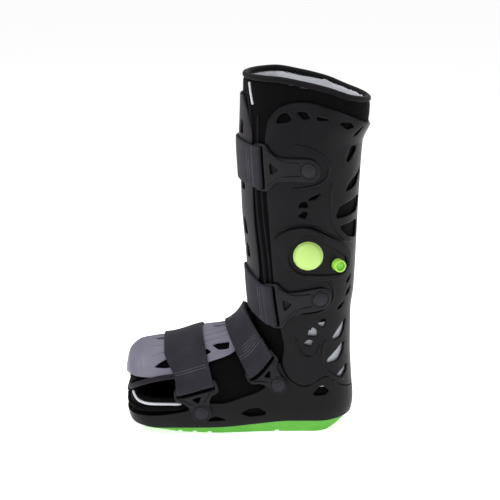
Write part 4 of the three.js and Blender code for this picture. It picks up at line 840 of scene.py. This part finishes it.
def strap_path(slot_at):
    """The strap's way on its outer run, round one bar, back on its inner run and round the other bar."""
    bar0, bar1 = slot_at - BRACKET_SLOT / 2 - BRACKET_BAR, slot_at - BRACKET_SLOT / 2
    over = -BRACKET_GAP - BRACKET_WALL - BAR_GAP - LOOP_WALL / 2
    under = BAR_GAP - BRACKET_GAP + LOOP_WALL / 2
    end, stop = bar1 + BAR_GAP + LOOP_WALL / 2, bar0 - BAR_GAP
    outer = -STRAP_GAP - STRAP_WALL + LOOP_WALL / 2
    inner = -STRAP_GAP - LOOP_WALL / 2
    turn = [(stop - LAP, outer), (bar0, over), (bar0 + 3, over - 0.1), (end, over), (end, under),
            (bar0 + 3, under), (stop - 0.8, under), (stop - LAP, inner)]
    turn = rounded(turn, closed=False)
    run = stop - LAP - 1
    return ([(a, outer) for a in evenly(-run, run, 40)] + turn + [(a, inner) for a in evenly(run, -run, 40)]
            + [(-a, d) for a, d in reversed(turn)])

# %% Helper for stitches
STITCH_STEP, STITCH_LENGTH, STITCH_RADIUS = 2.6, 1.6, 0.36
STITCH_PROFILE = ((0, 0.35), (0.2, 1), (0.8, 1), (1, 0.35))

def stitches(name, lines, place, depth):
    """Short threads along flat lines ((a, t) to (a, t)), half sunk in the webbing."""
    mesh = bmesh.new()
    for (a0, t0), (a1, t1) in lines:
        total = hypot(a1 - a0, t1 - t0)
        for k in range(int(total / STITCH_STEP)):
            first = k * STITCH_STEP
            ends = [place(lerp(a0, a1, s), depth, lerp(t0, t1, s))
                    for s in (first / total, (first + STITCH_LENGTH) / total)]
            way = (ends[1] - ends[0]).normalized()
            up = (place(a0, depth - 1, t0) - place(a0, depth, t0)).normalized()
            aside = way.cross(up).normalized()
            rings = []
            for share, thick in STITCH_PROFILE:
                middle, radius = ends[0].lerp(ends[1], share), STITCH_RADIUS * thick
                rings.append([mesh.verts.new((middle + radius * (aside * cos(b) + up * sin(b))) * MM)
                              for b in evenly(0, 2 * pi, 6)[:-1]])
            skin(mesh, rings, capped=True)
    finish_piece(from_bmesh(name, mesh), THREAD, "webbing", angle=60)

# %% Straps
def shin_strap_place(row):
    def place(a, depth, t):
        share = min(1, abs(a) / (SHIN_SLOT - BRACKET_SLOT - BRACKET_BAR - 2))
        rise = row[2] * SHELL_HEIGHT * cos(share * pi / 2)
        return shin_point(a, row[1] * SHELL_HEIGHT + rise + t, depth)
    return place

def foot_strap_place(row):
    """The forefoot strap widens towards the toes as it leaves its slots."""
    def place(a, depth, t):
        spread = clamp((ARCH - 18 - abs(a)) / 40) if row[0] == "forefoot" else 0
        wide = t * (1 + 0.5 * spread * spread * (3 - 2 * spread)) if t < 0 else t
        return arch_point(lerp(row[1], row[2], wide / FOOT_STRAP + 0.5), a, depth)
    return place

STRAPS = [(row[0], SHIN_SLOT, SHIN_STRAP, shin_strap_place(row)) for row in SHIN_ROWS]
STRAPS += [(row[0], ARCH, FOOT_STRAP, foot_strap_place(row)) for row in FOOT_ROWS]
FOOT_SEWN, SHIN_SEWN = 25, 18
for name, slot_at, width, place in STRAPS:
    band = ribbon(f"{name}_webbing", strap_path(slot_at), width, LOOP_WALL - 0.12, place, 14)
    finish_piece(band, WEBBING, "webbing", nodes=[f"strap_{name}"], angle=50)
    depth = -STRAP_GAP - STRAP_WALL - 0.05
    low, high = MARGIN - width / 2, width / 2 - MARGIN
    near = slot_at - (FOOT_SEWN if slot_at == ARCH else SHIN_SEWN)
    lines = [((near, low), (near, high)), ((near - 3, low), (near - 3, high))]
    if name == "ankle":
        lines += [((near - gap, low * 0.55), (near - gap, high)) for gap in (6, 9, 12)]
    lines += [((-a, t), (-b, u)) for (a, t), (b, u) in lines[:2]]
    stitches(f"{name}_stitches", lines, place, depth)

# %% [markdown]
# ## Pump
# The pump's cover is a raised plate with a recess round the bulb and the valve. The bulb is soft rubber,
# and the valve is a stub of bright tube with a push button inside.

# %% Pump cover
BULB_AROUND, BULB_UP, COVER_REACH = 92, 233, 57
COVER_STAND, COVER_POCKET, VALVE_BACK, VALVE_DOWN = 5, 2.6, 36.5, 12.5
COVER = [(-0.74, 0.25), (-0.68, 0.42), (-0.54, 0.54), (-0.35, 0.61), (-0.1, 0.63), (0.1, 0.58), (0.47, 0.37),
         (0.84, 0.16), (0.98, -0.02), (0.98, -0.33), (0.84, -0.51), (0.6, -0.56), (0.03, -0.53),
         (-0.25, -0.44),
         (-0.46, -0.23), (-0.6, 0.05)]

def pump_place(back, up, depth):
    return leg_point(BULB_AROUND - back, BULB_UP + up, depth)

POCKET, SMALL_POCKET = 23, 12.5
AIM_AT_VALVE = atan2(-VALVE_DOWN, VALVE_BACK)
LEAVES_AT = acos((POCKET - SMALL_POCKET) / hypot(VALVE_BACK, VALVE_DOWN))

def pocket(extra):
    """A big circle round the bulb and a small one round the valve, with straight lines between them."""
    low, high = AIM_AT_VALVE - LEAVES_AT, AIM_AT_VALVE + LEAVES_AT
    return (arc(0, 0, POCKET + extra, high, low + 2 * pi, 30)
            + arc(VALVE_BACK, -VALVE_DOWN, SMALL_POCKET + extra, low, high, 16))

outline = rounded([(x * COVER_REACH, y * COVER_REACH) for x, y in COVER], 3)
frame_plate = flat_plate("pump_cover_moulding", outline, [pocket(0)], COVER_STAND, rim=1.3, step=3)
wrap(frame_plate, pump_place, -BRACKET_GAP - COVER_STAND / 2)
floor_wall = COVER_STAND - COVER_POCKET
floor_plate = flat_plate("pump_cover_floor", pocket(1.5), [], floor_wall, rim=0.4, step=3)
wrap(floor_plate, pump_place, -BRACKET_GAP - floor_wall / 2)
finish_piece(join([frame_plate, floor_plate]), SHELL, "shell", nodes=["pump_cover"])
ring = pocket(2.2)
ridge("pump_pocket_rim", ring + ring[:2], pump_place, 0.9, BRACKET_GAP + COVER_STAND - 0.3, SHELL, "shell")

# %% Bulb and valve
BULB = [(0, 0.35), (17.6, 0.35), (18, 1.0), (18, 2.8), (17.7, 3.3), (17.1, 3.5), (16.8, 3.9), (17.0, 4.4),
        (16.9, 5.2), (15.9, 7.6), (13.8, 9.7), (10.8, 11.2), (7.2, 12.1), (3.6, 12.45), (0, 12.5)]
piece = turned("bulb_rubber", BULB, pump_place(0, 0, 0), outward(pump_place, 0, 0), 64)
finish_piece(piece, LIME, "lime", nodes=["pump_bulb"], angle=60)
VALVE_AXIS = Vector((sin(radians(20)), -cos(radians(20)), 0))
VALVE_SEAT = pump_place(VALVE_BACK, -VALVE_DOWN, 0)
LEAN_OF_SEAT = VALVE_AXIS.angle(outward(pump_place, VALVE_BACK, -VALVE_DOWN))
FOOT = 0.35 + 7.5 * tan(LEAN_OF_SEAT)
TUBE = [(5.2, FOOT), (7.5, FOOT), (7.5, FOOT + 10.6), (7.2, FOOT + 11.5), (6.6, FOOT + 12), (5.7, FOOT + 12),
        (5.2, FOOT + 11.5)]
finish_piece(turned("valve_tube_collar", TUBE, VALVE_SEAT, VALVE_AXIS, closed=True), BRIGHT, "lime_bright",
             nodes=["valve_tube"], angle=40)
TOP = FOOT + 10.5
PUSH = [(0, TOP - 6), (4.85, TOP - 6), (4.85, TOP - 0.8), (4.4, TOP - 0.15), (3.4, TOP), (2.6, TOP - 0.5),
        (0, TOP - 0.8)]
finish_piece(turned("valve_push", PUSH, VALVE_SEAT, VALVE_AXIS), BUTTON, "button", body="valve_button",
             nodes=["valve_button"], angle=50)

# %% [markdown]
# ## Sole
# The rubber sole is a rocker: flat under the middle of the foot and curved up at both ends, with a few
# grooves across.

# %% Sole
TREAD = [(-0.84, 0.6), (-0.69, 0.4), (-0.56, 0.18), (-0.44, 0.11), (-0.32, 0.04), (-0.2, 0), (0.5, 0),
         (0.61, 0.13), (0.67, 0.45), (0.73, 0.83), (0.775, 1.09)]
GROOVES = [share * TOE_REACH for share in (-0.56, -0.443, -0.325, 0.218)]
GROOVE_HALF, GROOVE_DEPTH, SOLE_INSET, SOLE_GAP = 2.5, 2.2, 2.5, 0.35

def tread(x):
    groove = any(abs(x - g) < GROOVE_HALF for g in GROOVES)
    return SOLE_HEIGHT * from_table(TREAD, x / TOE_REACH) + (GROOVE_DEPTH if groove else 0)

sole = slab("sole_rubber", SOLE_INSET, tread, lambda x: underside(x) - SOLE_GAP, TREAD[0][0] * TOE_REACH,
            TREAD[-1][0] * TOE_REACH, count=500)
finish_piece(sole, RUBBER, "rubber", nodes=["outsole"], angle=30)

# %% [markdown]
# ## Heel pad
# A thin moulded cushion behind the ankle shows through the rear windows. It is drawn flat as a plate too,
# and its face swells in small cells.

# %% Heel pad
PAD_REACH, PAD_BOTTOM, PAD_TOP, PAD_WALL, PAD_DEPTH = 92, 62, 150, 2.5, 3.5
CELL_WIDE, CELL_TALL, CELL_SWELL = 14, 11, 0.25

def pad_place(x, y, depth):
    """Its outer face, where the depth is below 0, swells in cells."""
    cells = sin(x * pi / CELL_WIDE) * sin((y - PAD_BOTTOM) * pi / CELL_TALL)
    swell = CELL_SWELL * abs(cells) if depth < 0 else 0
    return leg_point(x, y, PAD_DEPTH + PAD_WALL / 2 + depth - swell)

outline = [(-PAD_REACH, PAD_BOTTOM), (PAD_REACH, PAD_BOTTOM), (PAD_REACH, PAD_TOP), (-PAD_REACH, PAD_TOP)]
pad = flat_plate("heel_cushion", rounded(outline, 3, 0.08), [], PAD_WALL - 0.5, rim=0.8, step=3)
wrap(pad, pad_place, 0)
finish_piece(pad, PAD, "pad", nodes=["heel_pad"], angle=60)

# %% [markdown]
# ## Liner
# The liner is a boot of laminated cloth over foam: black outside, pale inside, with a binding round its
# rim. It starts as a copy of its CAD solid, which a voxel remesh turns into an even skin of small faces.
# Smoothing softens it, and the leg's part is then put back on the leg's true curve, with a slight swell as
# foam has.

# %% Liner's skin
liner = add_object("padded_liner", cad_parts["liner"].data.copy())
select_only(liner)
bpy.ops.object.mode_set(mode="EDIT")
bpy.ops.mesh.select_all(action="SELECT")
bpy.ops.mesh.remove_doubles(threshold=1e-5)
bpy.ops.object.mode_set(mode="OBJECT")
remesh = liner.modifiers.new("even_skin", "REMESH")
remesh.mode = "VOXEL"
remesh.voxel_size = 0.0021
remesh.use_smooth_shade = True
smooth = liner.modifiers.new("soften", "SMOOTH")
smooth.factor = 0.5
smooth.iterations = 10
for modifier in list(liner.modifiers):
    bpy.ops.object.modifier_apply(modifier=modifier.name)
print("liner", len(liner.data.vertices))

# %% Back on the leg's curve
RIM_REAR, RIM_RUN = HEEL_REAR + 18, 150
LINER_OUT, LINER_IN, NEAR = 3.5, 9.5, 3.2
LEG_FROM, LEG_EASE, RIM_GUARD, RIM_EASE = 112, 25, 4, 5
PUFF = 0.35

def rim_share(x):
    return clamp((RIM_REAR - x) / RIM_RUN)

def rim_height(x):
    return BOOT_HEIGHT * from_table(RIM, rim_share(x))

def leg_depth(p):
    """How deep a point lies in the leg, the direction outwards, the leg's axis there and its half width."""
    half, front, rear = leg_plan(round(min(BOOT_HEIGHT, p.z), 1))[:3]
    axis_x = min(max(p.x, front + half), rear - half)
    away = Vector((p.x - axis_x, p.y, 0))
    return half - away.length, away.normalized(), Vector((axis_x, 0, p.z)), half

for v in liner.data.vertices:
    p = v.co / MM
    if p.z < LEG_FROM:
        continue
    depth, out, axis, half = leg_depth(p)
    aim = LINER_OUT if depth < (LINER_OUT + LINER_IN) / 2 else LINER_IN
    if abs(depth - aim) > NEAR:
        continue
    share = min(1, (p.z - LEG_FROM) / LEG_EASE) * clamp((rim_height(p.x) - p.z - RIM_GUARD) / RIM_EASE)
    puff = PUFF * sin(p.z * 0.13 + 1.3 * sin(p.x * 0.08)) * sin(p.x * 0.11 + p.y * 0.07)
    puff = 2 * puff if aim == LINER_IN else min(0, puff)
    v.co = p.lerp(axis + out * (half - aim + puff), share) * MM

# %% A straighter rim, which sinks a little under the rolled binding that goes round it
RIM_FROM = 380
SINK, SINK_FROM, SINK_OVER = 2.5, 395, 30
ROLL_RADIUS, ROLL_DEPTH, ROLL_LIFT = 3.9, 6.4, -1.4

def eased(p):
    low = rim_height(p.x)
    rise = BOOT_HEIGHT * from_table(TOP_RIM, rim_share(p.x)) - low
    return p.z + rise * clamp((p.z - RIM_FROM) / (low - RIM_FROM))

for v in liner.data.vertices:
    p = v.co / MM
    v.co.z = (eased(p) - SINK * clamp((p.z - SINK_FROM) / SINK_OVER)) * MM

def rim_place(around, lift, depth):
    """A point over the rim: around the leg, and lift above the liner's own top."""
    z = BOOT_HEIGHT * 0.96
    for _ in range(3):
        z = rim_height(leg_point(around, z, depth).x)
    p = leg_point(around, z, depth)
    return Vector((p.x, p.y, eased(p) + lift))

girth = leg_plan(BOOT_HEIGHT * 0.98)[5]
path = [(way, ROLL_LIFT) for way in evenly(-girth, girth, 120)]
ridge("rim_binding", path, rim_place, ROLL_RADIUS, -ROLL_DEPTH, ROLLED, "fabric", taper=False)

# %% Edges of the front flap, and the lining that shows beside it
FLAP = [(26, 438), (31, 425), (37, 400), (42, 370), (45, 330), (47, 250), (48, 175)]
SECOND = [(50, 400), (52, 370), (54, 330), (56, 250), (56, 190)]
SLIVER = [(32, 437), (35, 425), (40, 411)]
FLAP_EDGES = (("flap_edge", FLAP, 2.2, ROLLED), ("flap_fold", SECOND, 1.6, ROLLED),
              ("flap_lining", SLIVER, 1.5, LINING))
for way, side in SIDE_NAMES.items():
    for label, path, radius, cloth in FLAP_EDGES:
        line = softly([(way * x, z) for x, z in path])
        ridge(f"{label}_{side}", line, shin_point, radius, -3.0, cloth, "fabric")

# %% Cloth outside, lining inside
LEG_ABOVE, LINED_BEYOND, SHOWN_DEPTH = 100, -60, 6
FOOT_MIDDLE = 45  # the height of the line that the foot's cloth faces inwards to
liner.data.materials.clear()
for material in (CLOTH, LINING):
    liner.data.materials.append(material)
for face in liner.data.polygons:
    p = face.center / MM
    if p.z > LEG_ABOVE:
        depth, out = leg_depth(p)[:2]
        lined = face.normal.dot(out) < -0.3 and depth > SHOWN_DEPTH
    else:
        inward = Vector((0, -p.y, FOOT_MIDDLE - p.z)).normalized()
        lined = face.normal.dot(inward) > 0.35 and p.x > LINED_BEYOND
    face.material_index = 1 if lined else 0
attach(liner, "boot")
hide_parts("liner")

# %% Edges of the toe's side openings
LOWER_LIP = [(-144, 55), (-143, 51), (-140, 47), (-136, 44.5), (-126, 42.5), (-104, 42.2), (-84, 42)]
UPPER_LIP = [(-151.5, 42), (-150.5, 49), (-147, 57), (-140, 65), (-125, 72.5), (-104, 77), (-84, 79)]
CUFF = [(-151.5, 42), (-151, 37.5), (-140, 36), (-120, 36), (-84, 37)]
TOE_EDGES = (("lip_white", LOWER_LIP, 1.7, -3.9, LINING, "pad"),
             ("lip_dark", UPPER_LIP, 3.2, -4.5, BINDING, "fabric"),
             ("cuff", CUFF, 2.6, -3.0, CLOTH, "fabric"))

def side_place(way):
    return lambda x, z, depth: Vector((x, -way * foot_half(x, z, depth), z))

for way, side in SIDE_NAMES.items():
    for label, path, *settings in TOE_EDGES:
        ridge(f"toe_{label}_{side}", softly(path), side_place(way), *settings)
